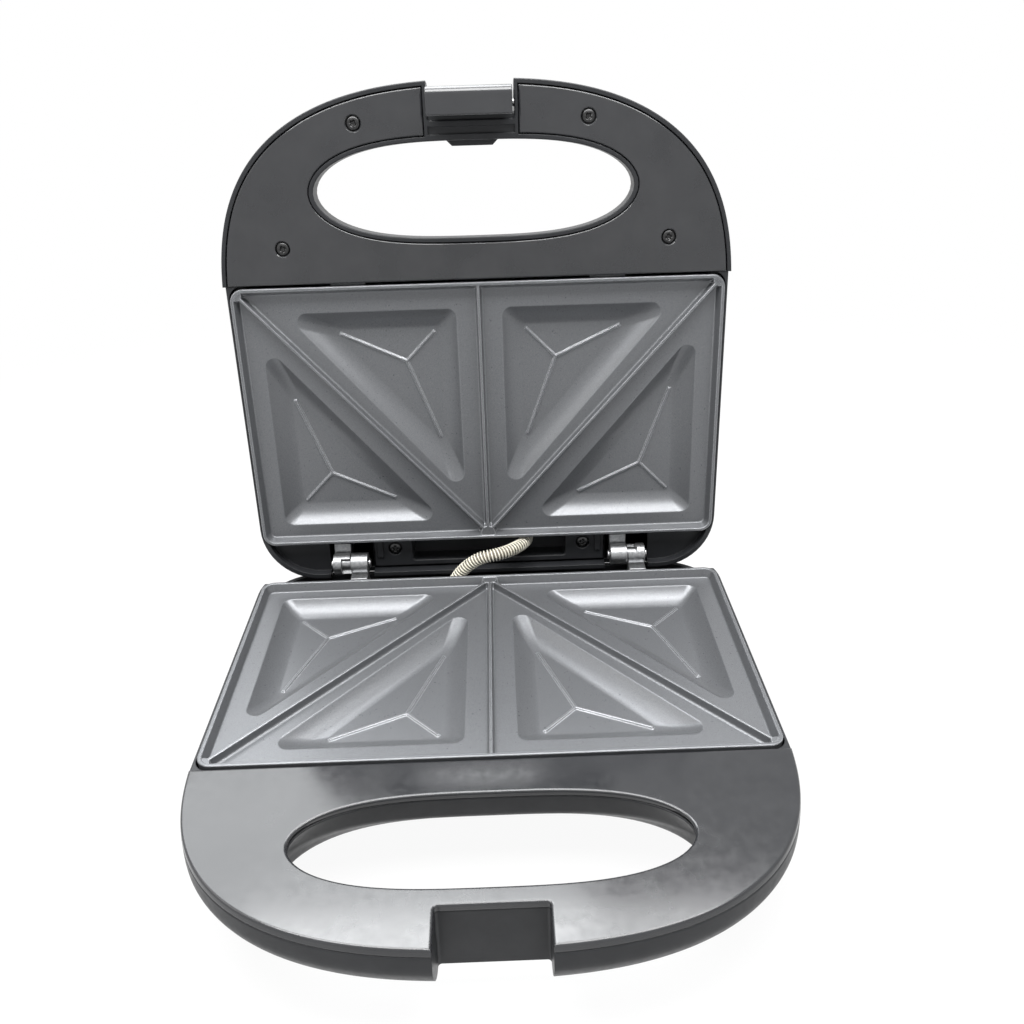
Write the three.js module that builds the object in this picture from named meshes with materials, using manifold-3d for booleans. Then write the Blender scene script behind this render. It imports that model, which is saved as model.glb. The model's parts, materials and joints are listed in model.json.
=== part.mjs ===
// Two-slice sandwich maker, standing open on its hinge stops
// Millimetres, +Z up, +X to the right, handles towards -Y.
// Both halves are drawn closed, as depth measured outwards from the parting plane where
// the cooking plates meet. The base is the mirror image, and the lid is swung open last.
// Y is zero on the hinge axis until the whole object is set down on the origin.

import * as THREE from 'three';
import { mergeVertices } from 'three/addons/utils/BufferGeometryUtils.js';
import Module from 'manifold-3d';

const wasm = await Module();
wasm.setup();

// Clearances and stock
const GAP = 0.3;
const OVERRUN = 6;
const WALL = 2.5;
const SHEET_STEEL = 0.8;

// Hinge line
const OPEN_DEGREES = 97;
const AXIS_HEIGHT = 2.1;

// Cooking plates, which drive the plan of everything round them
const PLATE_WIDTH = 228;
const PLATE_DEPTH = 128;
const PLATE_SETBACK = 12;
const PLATE_CORNER = 6;
const PLATE_THICKNESS = 2.6;

// Body outline in plan
const BODY_RIM = 1.4;
const BODY_HALF_WIDTH = PLATE_WIDTH / 2 + BODY_RIM;
const BODY_REAR = 7.8;
const BODY_REAR_RADIUS = 28;
const BODY_FRONT_RADIUS = 12;
const BODY_LEAST_RADIUS = 6;
const BODY_LIP = 1.2;
const BASE_DEPTH = 38;
const BASE_ROUND = 13;
const REAR_WALL_TOP = 8;
const LID_DEPTH = 42;
const LID_ROUND = 34;
const LID_DECK = 6;

// Handle loop in plan and in section
const HANDLE_SEAM = 1.2;
const HANDLE_BACK = PLATE_SETBACK + PLATE_DEPTH + HANDLE_SEAM;
const HANDLE_OVERHANG = 1.6;
const HANDLE_HALF_WIDTH = BODY_HALF_WIDTH + HANDLE_OVERHANG;
const HANDLE_LENGTH = 83.3;
const HANDLE_WIDEST = 21.2;
const HANDLE_SIDE_FULLNESS = 2.55;
const HANDLE_FRONT_FULLNESS = 2.9;
const HANDLE_DEPTH = 26.5;
const HANDLE_ROUND = 15;
const HANDLE_FACE_GAP = 0.4;
const OVAL_REAR_ROOM = 18.6;
const OVAL_FRONT_ROOM = 24.1;
const OVAL_HALF_DEPTH = (HANDLE_LENGTH - OVAL_REAR_ROOM - OVAL_FRONT_ROOM) / 2;
const OVAL_SETBACK = OVAL_REAR_ROOM + OVAL_HALF_DEPTH;
const OVAL_CENTRE = HANDLE_BACK + OVAL_SETBACK;
const OVAL_SIDE_ROOM = 46;
const OVAL_HALF_WIDTH = HANDLE_HALF_WIDTH - OVAL_SIDE_ROOM;
const OVAL_SIDE_FULLNESS = 3.2;
const OVAL_FRONT_FULLNESS = 1.9;
const OVAL_SIDE = 11;
const OVAL_FLARE_SIDES = 9;
const OVAL_FLARE_FRONT = 7;
const OVAL_FLARE_BACK = 15.5;
const NOTCH_HALF_WIDTH = 18.8;
const NOTCH_RIM = 1.5;
const WEB_BREADTH = 8.1;
const WEB_FRONT = OVAL_CENTRE + OVAL_HALF_DEPTH + WEB_BREADTH;
const WEB_LEDGE_DROP = 1;
const WEB_LEDGE_OVERHANG = 2.8;
const WEB_PAD_HALF_WIDTH = 14;
const WEB_PAD_TAPER = 5;
const WEB_PAD_RISE = 2.3;
const WEB_PAD_START = 8;
const WEB_PAD_LENGTH = 9;

// Handle covers
const COVER_THICKNESS = 2.4;
const LID_COVER_INSET = 2.2;
const COVER_PAD_HEIGHT = 1.5;
const COVER_PAD_RADIUS = 5.2;
const COVER_POST_RADIUS = 3.6;
const COVER_POST_LENGTH = 8.6;
const COVER_SCREW_FRONT_ROOM = 16.1;
const COVER_SCREW_FRONT = [66.2, HANDLE_LENGTH - COVER_SCREW_FRONT_ROOM];
const COVER_SCREW_REAR = [29.8, 16];
const COVER_SCREW_PLACES = [COVER_SCREW_FRONT, COVER_SCREW_REAR].map(
  ([fromSide, fromSeam]) => [HANDLE_HALF_WIDTH - fromSide, HANDLE_BACK + fromSeam]);

// Ridges and pockets of the cooking plates
const CREST_GAP = 0.15;
const CREST_WIDTH = 1.6;
const CREST_FLARE = 1.3;
const FLOOR_DEPTH = 4.5;
const RIDGE_GAP = 0.7;
const RIDGE_WIDTH = 1.3;
const RIDGE_FLARE = 0.7;
const RIDGE_CORNER_INSET = 2.8;
const RIDGE_NODE_INSET = 3;
const RIDGE_NODE_RADIUS = 3.6;
const POCKET_LAND_SIDE = 11.2;
const POCKET_LAND_REAR = 9.4;
const POCKET_LAND_FRONT = 12.3;
const POCKET_LAND_MIDDLE = 10.6;
const POCKET_TIP_MIDDLE = 22.7;
const POCKET_TIP_FRONT = 25.2;
const POCKET_LENGTH = PLATE_WIDTH / 2 - POCKET_LAND_SIDE - POCKET_TIP_MIDDLE;
const POCKET_REACH = PLATE_DEPTH - POCKET_LAND_REAR - POCKET_TIP_FRONT;
const POCKET_DEPTH = 6.3;
const POCKET_SLOPE = 10.4;
const POCKET_CORNER = 4.6;
const POCKET_BOTTOM_CORNER = 2;
const RIB_WIDTH = 1.5;
const RIB_DRAFT = 0.35;
const RIB_HEIGHT = 0.9;
const STUD_RADIUS = 4;
const STUD_LENGTH = 7.2;
const STUD_INSET = 56;
const STUD_Y = PLATE_SETBACK + PLATE_DEPTH / 2;
const STUD_PLACES = [1, -1].map((side) => [side * (PLATE_WIDTH / 2 - STUD_INSET), STUD_Y]);
const TAB_INSET = 54;
const TAB_OFFSET = PLATE_WIDTH / 2 - TAB_INSET;
const TAB_WIDTH = 16;
const TAB_LENGTH = 8;
const HOOK_INSET = 22;
const HOOK_OFFSET = PLATE_WIDTH / 2 - HOOK_INSET;
const HOOK_WIDTH = 10;
const HOOK_THICKNESS = 2.5;
const HOOK_REACH = 4.5;

// Heating
const HEATER_RADIUS = 3.2;
const HEATER_SIDE_INSET = 7;
const HEATER_FRONT_INSET = 8;
const HEATER_BEND = 14;
const HEATER_START = 30;
const REFLECTOR_CLEARANCE = 0.7;
const REFLECTOR_INSET = 2.6;
const REFLECTOR_START = 23;
const REFLECTOR_LIP = 3;
const REFLECTOR_CORNER = 10;
const THERMOSTAT_LEAD = 2;
const THERMOSTAT_Y = STUD_Y + THERMOSTAT_LEAD;
const THERMOSTAT_RADIUS = 8;
const THERMOSTAT_HEIGHT = 8.6;
const THERMOSTAT_CAP_RADIUS = 5.5;
const THERMOSTAT_CAP_HEIGHT = 3.5;
const THERMOSTAT_BLADE = 6.3;
const FUSE_SPACING = 26;
const FUSE_Y = THERMOSTAT_Y - FUSE_SPACING;
const FUSE_RADIUS = 2.2;
const FUSE_LENGTH = 12;
const TERMINAL_X = 62;
const TERMINAL_SETBACK = 32;
const TERMINAL_Y = PLATE_SETBACK + TERMINAL_SETBACK;
const TERMINAL_WIDTH = 30;
const TERMINAL_BREADTH = 14;
const TERMINAL_HEIGHT = 12;
const TERMINAL_BORE = 2.2;

// Leaves of the hinges and the deck of the base that they stand over
const HINGE_INSET = 42.9;
const HINGE_OFFSET = PLATE_WIDTH / 2 - HINGE_INSET;
const LEAF_DROP = 11.3;
const LEAF_THICKNESS = 3;
const LEAF_LENGTH = 21;
const LEAF_ROOM = 0.8;
const HINGE_BAY = 11.2;
const BASE_DECK = LEAF_DROP - AXIS_HEIGHT + LEAF_THICKNESS + LEAF_ROOM;

// Rear covers and the bay between the hinges
const REAR_COVER_END_GAP = 0.4;
const REAR_COVER_HALF_WIDTH = HINGE_OFFSET - HINGE_BAY - REAR_COVER_END_GAP;
const REAR_COVER_SHEET = 2;
const BAY_SIDE_ROOM = 20;
const BAY_HALF_WIDTH = REAR_COVER_HALF_WIDTH - BAY_SIDE_ROOM;
const BAY_FLOOR_ROOM = 14;
const BAY_DEPTH = BASE_DEPTH - BASE_DECK - BAY_FLOOR_ROOM;
const BAY_FRONT = 17.5;
const BAY_REAR = 1.2;
const REAR_COVER_END = 4.1;
const BAY_HOLE_RADIUS = 2.6;
const REAR_SCREW_INSET = 10.9;
const REAR_SCREW_PLACE = [REAR_COVER_HALF_WIDTH - REAR_SCREW_INSET, 5.6];
const REAR_SCREW_BOSS = 3.6;
const COVER_RIB_INSET = 3.3;
const COVER_RIB_OFFSET = REAR_COVER_HALF_WIDTH - COVER_RIB_INSET;
const COVER_RIB_WIDTH = 3.2;
const COVER_RIB_HEIGHT = 1;

// Hinges, each of two cast leaves on a pin
const KNUCKLE_RADIUS = 5.4;
const KNUCKLE_LENGTH = 8.7;
const KNUCKLE_COLLAR = 4.4;
const HINGE_HUB_RADIUS = 3.4;
const HINGE_PIN_RADIUS = 1.5;
const HINGE_PIN_HEAD_RADIUS = 2.4;
const HINGE_PIN_HEAD = 0.8;
const STOP_LEAD_DEGREES = 41;
const STOP_SPAN_DEGREES = 140;
const NECK_START = 3.6;
const NECK_NEAR = 1;
const NECK_FAR = 9.5;
const LEAF_SCREW_Y = 15.4;
const HINGE_NOTCH_DEPTH = 8.2;
const LEAF_BOSS_RADIUS = 4.3;

// Latch
const CLIP_HALF_WIDTH = 17.4;
const CLIP_PIVOT_ROOM = 6.5;
const CLIP_PIVOT_Y = WEB_FRONT + CLIP_PIVOT_ROOM;
const CLIP_PIVOT_DEPTH = 9;
const CLIP_SKIN = 2.4;
const CLIP_OUTER = 5.3;
const CLIP_TOP = 12.4;
const CLIP_TOP_OUTER = 2.6;
const CLIP_SHOULDER = 8.5;
const CLIP_HOOK_LEVEL = 36.5;
const CLIP_HOOK_THICKNESS = 2.4;
const CLIP_HOOK_TIP = 5.6;
const CLIP_EDGE = 3.4;
const CLIP_TIP_EDGE = 0.7;
const CLIP_RIB = 2.4;
const CLIP_RIB_INNER = 2.6;
const CLIP_BOSS_RADIUS = 3.6;
const CLIP_PIN_RADIUS = 1.5;

// Screws
const SCREW_HEAD_RADIUS = 3;
const SCREW_HEAD_HEIGHT = 1.8;
const SCREW_SHANK_RADIUS = 1.5;
const SCREW_LENGTH = 12;
const SCREW_BOSS_RADIUS = 4.4;
const BASE_SCREW_SEAT = 19.4;
const SHORT_SCREW_LENGTH = 5;

// Feet, cord inlet and lamps
const FOOT_RADIUS = 7;
const FOOT_HEIGHT = 4.2;
const FOOT_BEVEL = 1;
const FOOT_PEG_RADIUS = 2.5;
const FOOT_BARB_RADIUS = 3.4;
const FOOT_BARB_LENGTH = 3;
const FOOT_TIP_RADIUS = 1.6;
const FOOT_SIDE_ROOM = 24.4;
const FOOT_X = BODY_HALF_WIDTH - FOOT_SIDE_ROOM;
const FOOT_REAR_Y = 16;
const FOOT_FRONT_ROOM = 30;
const FOOT_FRONT_Y = PLATE_SETBACK + PLATE_DEPTH - FOOT_FRONT_ROOM;
const INLET_BAY_ROOM = 20.5;
const INLET_X = -BAY_HALF_WIDTH - INLET_BAY_ROOM;
const INLET_LEVEL = 25.5;
const INLET_RADIUS = 4.2;
const INLET_COLLAR_RADIUS = 7;
const INLET_COLLAR_LENGTH = 4;
const VENT_LENGTH = 26;
const VENT_WIDTH = 3;
const VENT_PITCH_X = 38;
const VENT_PITCH_Y = 10;
const VENT_OFFSET = 6;
const VENT_Y = THERMOSTAT_Y - VENT_OFFSET;
const LENS_X = 11;
const LENS_ROOM = 56;
const LENS_Y = PLATE_SETBACK + PLATE_DEPTH - LENS_ROOM;
const LENS_RADIUS = 4.4;
const LENS_FLANGE_RADIUS = 6;
const LENS_FLANGE = 1.2;
const LENS_RISE = 1.4;
const LAMP_RADIUS = 3;
const LAMP_LENGTH = 11;
const LAMP_TIP_RADIUS = 1.5;
const HOLDER_LENGTH = 56;
const HOLDER_WIDTH = 12;
const HOLDER_POST_X = 22;
const HOLDER_POST_RADIUS = 3.2;
const HOLDER_DROP = 16;

// Sprung conduit that carries the lid's wires over the hinge line
const CONDUIT_RADIUS = 3;
const CONDUIT_WIRE = 0.65;
const CONDUIT_PITCH = 1.5;
const CONDUIT_STRAIGHT = 6.6;
const CONDUIT_BASE_ROOM = 18.6;
const CONDUIT_LID_ROOM = 19.7;
const CONDUIT_BASE_PLACE = [CONDUIT_BASE_ROOM - BAY_HALF_WIDTH, 7.6];
const CONDUIT_LID_PLACE = [BAY_HALF_WIDTH - CONDUIT_LID_ROOM, 7.8];
const CONDUIT_CREST_PLACE = [0, 9.6];
const CONDUIT_CREST = 9.4;
const CONDUIT_CORE_RADIUS = 2.3;
const CONDUIT_TAIL = 5;
const CURL_STEPS = 8;
const CURL_SIDES = 5;

// Facets
const HANDLE_STEPS = 26;
const OVAL_STEPS = 24;
const CORNER_STEPS = 3;
const POST_STEPS = 6;
const SCREW_STEPS = 8;
const FOOT_STEPS = 8;
const ROUND_STEPS = 12;
const TUBE_STEPS = 18;

// Profiles as shares: how deep each ring lies, then how far it has drawn in or spread
const handleShares = [
  [0, 0], [0.3, 0.027], [0.49, 0.107], [0.68, 0.293], [0.83, 0.507], [0.943, 0.747], [1, 1],
];
const ovalShares = [[0.68, 0.4], [0.87, 0.72], [1, 1]];
const baseShares = [[0, 0], [0.74, 0.12], [0.87, 0.31], [0.96, 0.65], [1, 1]];
const lidShares = [[0, 0], [0.66, 0.04], [0.82, 0.11], [0.93, 0.26], [0.98, 0.5], [1, 1]];
const pocketShares = [[0, 0], [0.64, 0.43], [0.92, 0.76], [1, 1]];
const ribReachShare = 0.57;
const quarterShare = 0.552;

const baseHalf = {
  outward: -1, depth: BASE_DEPTH, round: BASE_ROUND, shares: baseShares, deck: BASE_DECK,
  coverInset: 0, conduit: CONDUIT_BASE_PLACE, group: new THREE.Group(),
};
const lidHalf = {
  outward: 1, depth: LID_DEPTH, round: LID_ROUND, shares: lidShares, deck: LID_DECK,
  coverInset: LID_COVER_INSET, conduit: CONDUIT_LID_PLACE, group: new THREE.Group(),
};

const plateFront = PLATE_SETBACK + PLATE_DEPTH;
const plateUnderside = FLOOR_DEPTH + PLATE_THICKNESS;
const coverSeat = HANDLE_FACE_GAP + COVER_THICKNESS + GAP;
const ovalBack = OVAL_CENTRE - OVAL_HALF_DEPTH;
const heaterDepth = plateUnderside + GAP + HEATER_RADIUS;
const reflectorDepth = heaterDepth + HEATER_RADIUS + REFLECTOR_CLEARANCE;
const shankHole = SCREW_SHANK_RADIUS + GAP;
const headHole = SCREW_HEAD_RADIUS + GAP;
const bothSides = [-1, 1];

// Plan outlines, anticlockwise seen from outside the lid

const at = (x, y) => new THREE.Vector2(x, y);

function circle(x, y, radius, steps = POST_STEPS) {
  return Array.from({ length: steps }, (_, i) => {
    const angle = (2 * Math.PI * i) / steps;
    return at(x + radius * Math.cos(angle), y + radius * Math.sin(angle));
  });
}

function insetCorners(corners, inset) {
  return corners.map((corner, i) => {
    const into = corner.clone().sub(corners.at(i - 1)).normalize();
    const out = corners[(i + 1) % corners.length].clone().sub(corner).normalize();
    const inwards = at(-into.y - out.y, into.x + out.x);
    return inwards.multiplyScalar(inset / (1 + into.dot(out))).add(corner);
  });
}

function rounded(corners, radii, steps = CORNER_STEPS) {
  return corners.flatMap((corner, i) => {
    const before = corners.at(i - 1).clone().sub(corner).normalize();
    const after = corners[(i + 1) % corners.length].clone().sub(corner).normalize();
    const half = Math.acos(before.dot(after)) / 2;
    const centre = before.clone().add(after).setLength(radii[i] / Math.sin(half)).add(corner);
    const start = before.setLength(radii[i] / Math.tan(half)).add(corner);
    const sweep = Math.PI - 2 * half;
    return Array.from({ length: steps + 1 }, (_, k) =>
      start.clone().rotateAround(centre, (sweep * k) / steps));
  });
}

function rectangle(halfWidth, front, rear) {
  return [at(-halfWidth, front), at(halfWidth, front), at(halfWidth, rear), at(-halfWidth, rear)];
}

// A point of a superellipse of unit size, fuller than a circle by its two powers
function fullPoint(angle, sideFullness, frontFullness) {
  const [across, forward] = [Math.cos(angle), Math.sin(angle)];
  return at(
    Math.sign(across) * Math.abs(across) ** (2 / sideFullness),
    Math.sign(forward) * Math.abs(forward) ** (2 / frontFullness),
  );
}

function handleOutline(inset, back = 0) {
  const seam = HANDLE_WIDEST / (HANDLE_WIDEST + HANDLE_LENGTH);
  const start = Math.asin(seam ** (HANDLE_FRONT_FULLNESS / 2));
  return Array.from({ length: HANDLE_STEPS + 1 }, (_, i) => {
    const angle = start + ((Math.PI - 2 * start) * i) / HANDLE_STEPS;
    const point = fullPoint(angle, HANDLE_SIDE_FULLNESS, HANDLE_FRONT_FULLNESS);
    const forward = (HANDLE_LENGTH - inset - back) * (point.y - seam) / (1 - seam);
    return at(-point.x * (HANDLE_HALF_WIDTH - inset), -HANDLE_BACK - back - forward);
  });
}

function ovalOutline(spread, offset) {
  const front = OVAL_HALF_DEPTH + OVAL_FLARE_FRONT * spread + offset;
  const back = OVAL_HALF_DEPTH + OVAL_FLARE_BACK * spread + offset;
  const halfWidth = OVAL_HALF_WIDTH + OVAL_FLARE_SIDES * spread + offset;
  return Array.from({ length: OVAL_STEPS }, (_, i) => {
    const point = fullPoint((2 * Math.PI * i) / OVAL_STEPS, OVAL_SIDE_FULLNESS, OVAL_FRONT_FULLNESS);
    return at(point.x * halfWidth, -OVAL_CENTRE + (back - front) / 2 + (point.y * (front + back)) / 2);
  });
}

function bodyOutline(inset, front) {
  const rearRadius = Math.max(BODY_REAR_RADIUS - inset, BODY_LEAST_RADIUS);
  const frontRadius = Math.max(BODY_FRONT_RADIUS - inset, BODY_LEAST_RADIUS);
  return rounded(
    rectangle(BODY_HALF_WIDTH - inset, front, BODY_REAR - inset),
    [frontRadius, frontRadius, rearRadius, rearRadius],
  );
}

function plateOutline(inset) {
  const corners = insetCorners(rectangle(PLATE_WIDTH / 2, -plateFront, -PLATE_SETBACK), inset);
  return rounded(corners, corners.map(() => PLATE_CORNER - inset));
}

// Solids

function solid(geometry) {
  const bare = geometry.clone();
  bare.deleteAttribute('normal');
  bare.deleteAttribute('uv');
  const merged = mergeVertices(bare);
  return new wasm.Manifold(new wasm.Mesh({
    numProp: 3,
    vertProperties: Float32Array.from(merged.attributes.position.array),
    triVerts: Uint32Array.from(merged.index.array),
  }));
}

const unite = (...parts) => parts.reduce((sum, part) => sum.add(part));
const cut = (body, ...tools) => tools.reduce((rest, tool) => rest.subtract(tool), body);

// A skin through rings of equal count, from the least depth to the greatest
function loft(rings) {
  const count = rings[0].outline.length;
  const index = [];
  for (let ring = 0; ring < rings.length - 1; ring += 1) {
    for (let i = 0; i < count; i += 1) {
      const a = ring * count + i;
      const b = ring * count + ((i + 1) % count);
      index.push(a, b, b + count, a, b + count, a + count);
    }
  }
  const last = (rings.length - 1) * count;
  for (const [a, b, c] of THREE.ShapeUtils.triangulateShape(rings[0].outline, [])) index.push(c, b, a);
  for (const [a, b, c] of THREE.ShapeUtils.triangulateShape(rings.at(-1).outline, [])) {
    index.push(last + a, last + b, last + c);
  }
  const points = rings.flatMap(({ outline, depth }) => outline.flatMap((p) => [p.x, p.y, depth]));
  const geometry = new THREE.BufferGeometry();
  geometry.setAttribute('position', new THREE.Float32BufferAttribute(points, 3));
  geometry.setIndex(index);
  return solid(geometry);
}

const prism = (outline, from, to) => loft([{ outline, depth: from }, { outline, depth: to }]);
const post = (x, y, radius, from, to, steps) => prism(circle(x, y, radius, steps), from, to);

function box(x0, x1, y0, y1, from, to) {
  const geometry = new THREE.BoxGeometry(x1 - x0, y1 - y0, to - from);
  return solid(geometry.translate((x0 + x1) / 2, (y0 + y1) / 2, (from + to) / 2));
}

// A stepped round piece: radii at depths, in rising order of depth
function turned(x, y, steps, stages) {
  return loft(stages.map(([radius, depth]) => ({ outline: circle(x, y, radius, steps), depth })));
}

// A profile in the plane across the hinge axis, carried along X
function acrossX(profile, x0, x1) {
  const shape = new THREE.Shape(profile);
  const geometry = new THREE.ExtrudeGeometry(shape, { depth: x1 - x0, bevelEnabled: false });
  const turn = new THREE.Matrix4().makeBasis(
    new THREE.Vector3(0, 1, 0), new THREE.Vector3(0, 0, 1), new THREE.Vector3(1, 0, 0));
  return solid(geometry.applyMatrix4(turn).translate(x0, 0, 0));
}

const axle = (y, depth, radius, x0, x1) => acrossX(circle(y, depth, radius, ROUND_STEPS), x0, x1);

function ringSector(y, depth, outer, inner, fromDegrees, toDegrees, x0, x1) {
  const arc = (radius, start, end) => Array.from({ length: ROUND_STEPS / 2 + 1 }, (_, i) => {
    const angle = THREE.MathUtils.degToRad(start + ((end - start) * i) / (ROUND_STEPS / 2));
    return at(y - radius * Math.cos(angle), depth + radius * Math.sin(angle));
  });
  return acrossX([...arc(outer, toDegrees, fromDegrees), ...arc(inner, fromDegrees, toDegrees)], x0, x1);
}

function tube(curve, radius, sides, steps) {
  const section = new THREE.Shape(circle(0, 0, radius, sides));
  return solid(new THREE.ExtrudeGeometry(section, { steps, bevelEnabled: false, extrudePath: curve }));
}

function counterbore(x, y, seat, end) {
  const stages = [[headHole, -OVERRUN], [headHole, seat], [shankHole, seat], [shankHole, end]];
  return turned(x, y, ROUND_STEPS, stages);
}

function screw(x, y, seat, length, towards, steps = POST_STEPS) {
  const stages = [
    [SCREW_HEAD_RADIUS, seat - towards * (GAP + SCREW_HEAD_HEIGHT)],
    [SCREW_HEAD_RADIUS, seat - towards * GAP],
    [SCREW_SHANK_RADIUS, seat - towards * GAP],
    [SCREW_SHANK_RADIUS, seat + towards * length],
  ];
  return turned(x, y, steps, towards > 0 ? stages : stages.reverse());
}

// Adds one named piece to its half. The base half is mirrored in the parting plane.
function piece(half, name, shape, color, roughness, metalness) {
  const { vertProperties, triVerts } = shape.getMesh();
  const geometry = new THREE.BufferGeometry();
  geometry.setAttribute('position', new THREE.BufferAttribute(Float32Array.from(vertProperties), 3));
  geometry.setIndex(new THREE.BufferAttribute(Uint32Array.from(triVerts), 1));
  if (half.outward < 0) {
    geometry.scale(1, 1, -1);
    geometry.index.array.reverse();
  }
  geometry.computeVertexNormals();
  const mesh = new THREE.Mesh(geometry, new THREE.MeshStandardMaterial({ color, roughness, metalness }));
  mesh.name = name;
  half.group.add(mesh);
  return mesh;
}

// Housings

const slopeFront = (depth) => -ovalBack + Math.max(0, depth - OVAL_SIDE);

// The inside of a shell runs out through its open face
const hollowed = (rings) => [{ ...rings[0], depth: -OVERRUN }, ...rings];
const everyOther = (rings) => rings.filter((_, i) => i % 2 === 0);

function handleRings(wall) {
  const depth = HANDLE_DEPTH - HANDLE_FACE_GAP - wall;
  const rings = handleShares.map(([down, drawn]) => ({
    outline: handleOutline(wall + HANDLE_ROUND * drawn, wall),
    depth: HANDLE_FACE_GAP + depth * down,
  }));
  return wall > 0 ? hollowed(everyOther(rings)) : rings;
}

function ovalRings(offset) {
  return [
    { outline: ovalOutline(0, offset), depth: -OVERRUN },
    { outline: ovalOutline(0, offset), depth: OVAL_SIDE },
    ...ovalShares.map(([down, spread]) => (
      { outline: ovalOutline(spread, offset), depth: HANDLE_DEPTH * down })),
    { outline: ovalOutline(1, offset), depth: HANDLE_DEPTH + OVERRUN },
  ];
}

function bodyRings(half, wall) {
  const rings = half.shares.map(([down, drawn]) => {
    const depth = BODY_LIP + (half.depth - BODY_LIP - wall) * down;
    const inset = half.round * drawn;
    const front = slopeFront(depth + wall) + inset + wall;
    return { outline: bodyOutline(inset + wall, wall > 0 ? Math.max(front, -HANDLE_BACK) : front), depth };
  });
  return wall > 0 ? hollowed(rings) : rings;
}

const handleFront = HANDLE_BACK + HANDLE_LENGTH;
const notch = (margin) => box(
  -NOTCH_HALF_WIDTH - margin, NOTCH_HALF_WIDTH + margin,
  -handleFront - OVERRUN, -WEB_FRONT + margin, -OVERRUN, HANDLE_DEPTH + OVERRUN);

// Between the notch and the loop the lid's cover gives way to a ledge of the housing
const ledgeCorridor = (margin, bottom) => box(
  -NOTCH_HALF_WIDTH - margin, NOTCH_HALF_WIDTH + margin, -handleFront - OVERRUN, -OVAL_CENTRE, -OVERRUN, bottom);

function webLedge() {
  const ledge = box(-NOTCH_HALF_WIDTH - NOTCH_RIM, NOTCH_HALF_WIDTH + NOTCH_RIM, -WEB_FRONT, -OVAL_CENTRE,
    HANDLE_FACE_GAP, coverSeat + WALL);
  const lip = box(-NOTCH_HALF_WIDTH - GAP, NOTCH_HALF_WIDTH + GAP, -WEB_FRONT - WEB_LEDGE_OVERHANG, -WEB_FRONT + GAP,
    HANDLE_FACE_GAP + WEB_LEDGE_DROP, coverSeat);
  const dip = cut(ledgeCorridor(0, HANDLE_FACE_GAP + WEB_LEDGE_DROP), loft(ovalRings(NOTCH_RIM)));
  return cut(unite(ledge, lip), dip, loft(ovalRings(0)));
}

function webPad() {
  const front = -OVAL_CENTRE - OVAL_HALF_DEPTH;
  const near = front + WEB_PAD_RISE;
  const far = front - WALL;
  const corners = [at(-WEB_PAD_HALF_WIDTH, far), at(WEB_PAD_HALF_WIDTH, far),
    at(WEB_PAD_HALF_WIDTH - WEB_PAD_TAPER, near), at(WEB_PAD_TAPER - WEB_PAD_HALF_WIDTH, near)];
  return prism(corners, WEB_PAD_START, WEB_PAD_START + WEB_PAD_LENGTH);
}

const coverScrewPlaces = COVER_SCREW_PLACES.flatMap(([x, y]) => bothSides.map((side) => [side * x, -y]));

function coverBosses(half) {
  const lid = half === lidHalf;
  const top = lid ? coverSeat + COVER_PAD_HEIGHT : coverSeat + COVER_POST_LENGTH;
  return coverScrewPlaces.map(([x, y]) => post(x, y, SCREW_BOSS_RADIUS, top, half.depth));
}

function coverBossHoles(half) {
  return coverScrewPlaces.map(([x, y]) => (half === lidHalf
    ? post(x, y, shankHole, 0, coverSeat + SCREW_LENGTH + COVER_PAD_HEIGHT)
    : turned(x, y, POST_STEPS, [
      [shankHole, 0], [shankHole, BASE_SCREW_SEAT], [headHole, BASE_SCREW_SEAT], [headHole, half.depth]])));
}

function coverRecess(half) {
  if (half === baseHalf) return prism(handleOutline(-OVERRUN), -OVERRUN, coverSeat);
  const rim = LID_COVER_INSET - GAP;
  return cut(prism(handleOutline(rim), -OVERRUN, coverSeat),
    loft(ovalRings(rim)), ledgeCorridor(NOTCH_RIM, coverSeat + OVERRUN));
}

// The plates drop into a step that leaves a thin lip of the housing round them
function plateStep() {
  const corners = rectangle(PLATE_WIDTH / 2 + GAP, -HANDLE_BACK, -PLATE_SETBACK + GAP);
  return prism(rounded(corners, [GAP, GAP, PLATE_CORNER, PLATE_CORNER]), -OVERRUN, plateUnderside + GAP);
}

const tabNotches = () => bothSides.map((side) => box(
  side * TAB_OFFSET - TAB_WIDTH / 2 - GAP, side * TAB_OFFSET + TAB_WIDTH / 2 + GAP,
  -HANDLE_BACK - WALL - GAP, -HANDLE_BACK + GAP, -OVERRUN, plateUnderside + GAP));

// Shelves in the rear corners that the plate hooks pull against
function cornerDecks(half) {
  return bothSides.map((side) => {
    const inner = REAR_COVER_HALF_WIDTH + GAP;
    const [x0, x1] = [side * inner, side * BODY_HALF_WIDTH].sort((a, b) => a - b);
    return box(x0, x1, -PLATE_SETBACK + GAP, BODY_REAR, half.deck, half.deck + REAR_COVER_SHEET);
  });
}

function rearBosses(half) {
  const [x, y] = REAR_SCREW_PLACE;
  const top = half.deck + REAR_COVER_SHEET + SCREW_HEAD_HEIGHT + GAP;
  return bothSides.map((side) => post(side * x, -y, REAR_SCREW_BOSS, top, half.depth));
}

function leafBosses(half) {
  const top = LEAF_DROP + LEAF_THICKNESS + GAP + half.outward * AXIS_HEIGHT;
  return leafPlaces(half).map((x) => post(x, -LEAF_SCREW_Y, LEAF_BOSS_RADIUS, top, half.depth));
}

// Centre of each leaf of a half: the lid's leaf is the left one of both hinges
function leafPlaces(half) {
  return bothSides.map((side) => side * HINGE_OFFSET - (half.outward * (GAP / 2 + KNUCKLE_LENGTH)) / 2);
}

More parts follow.
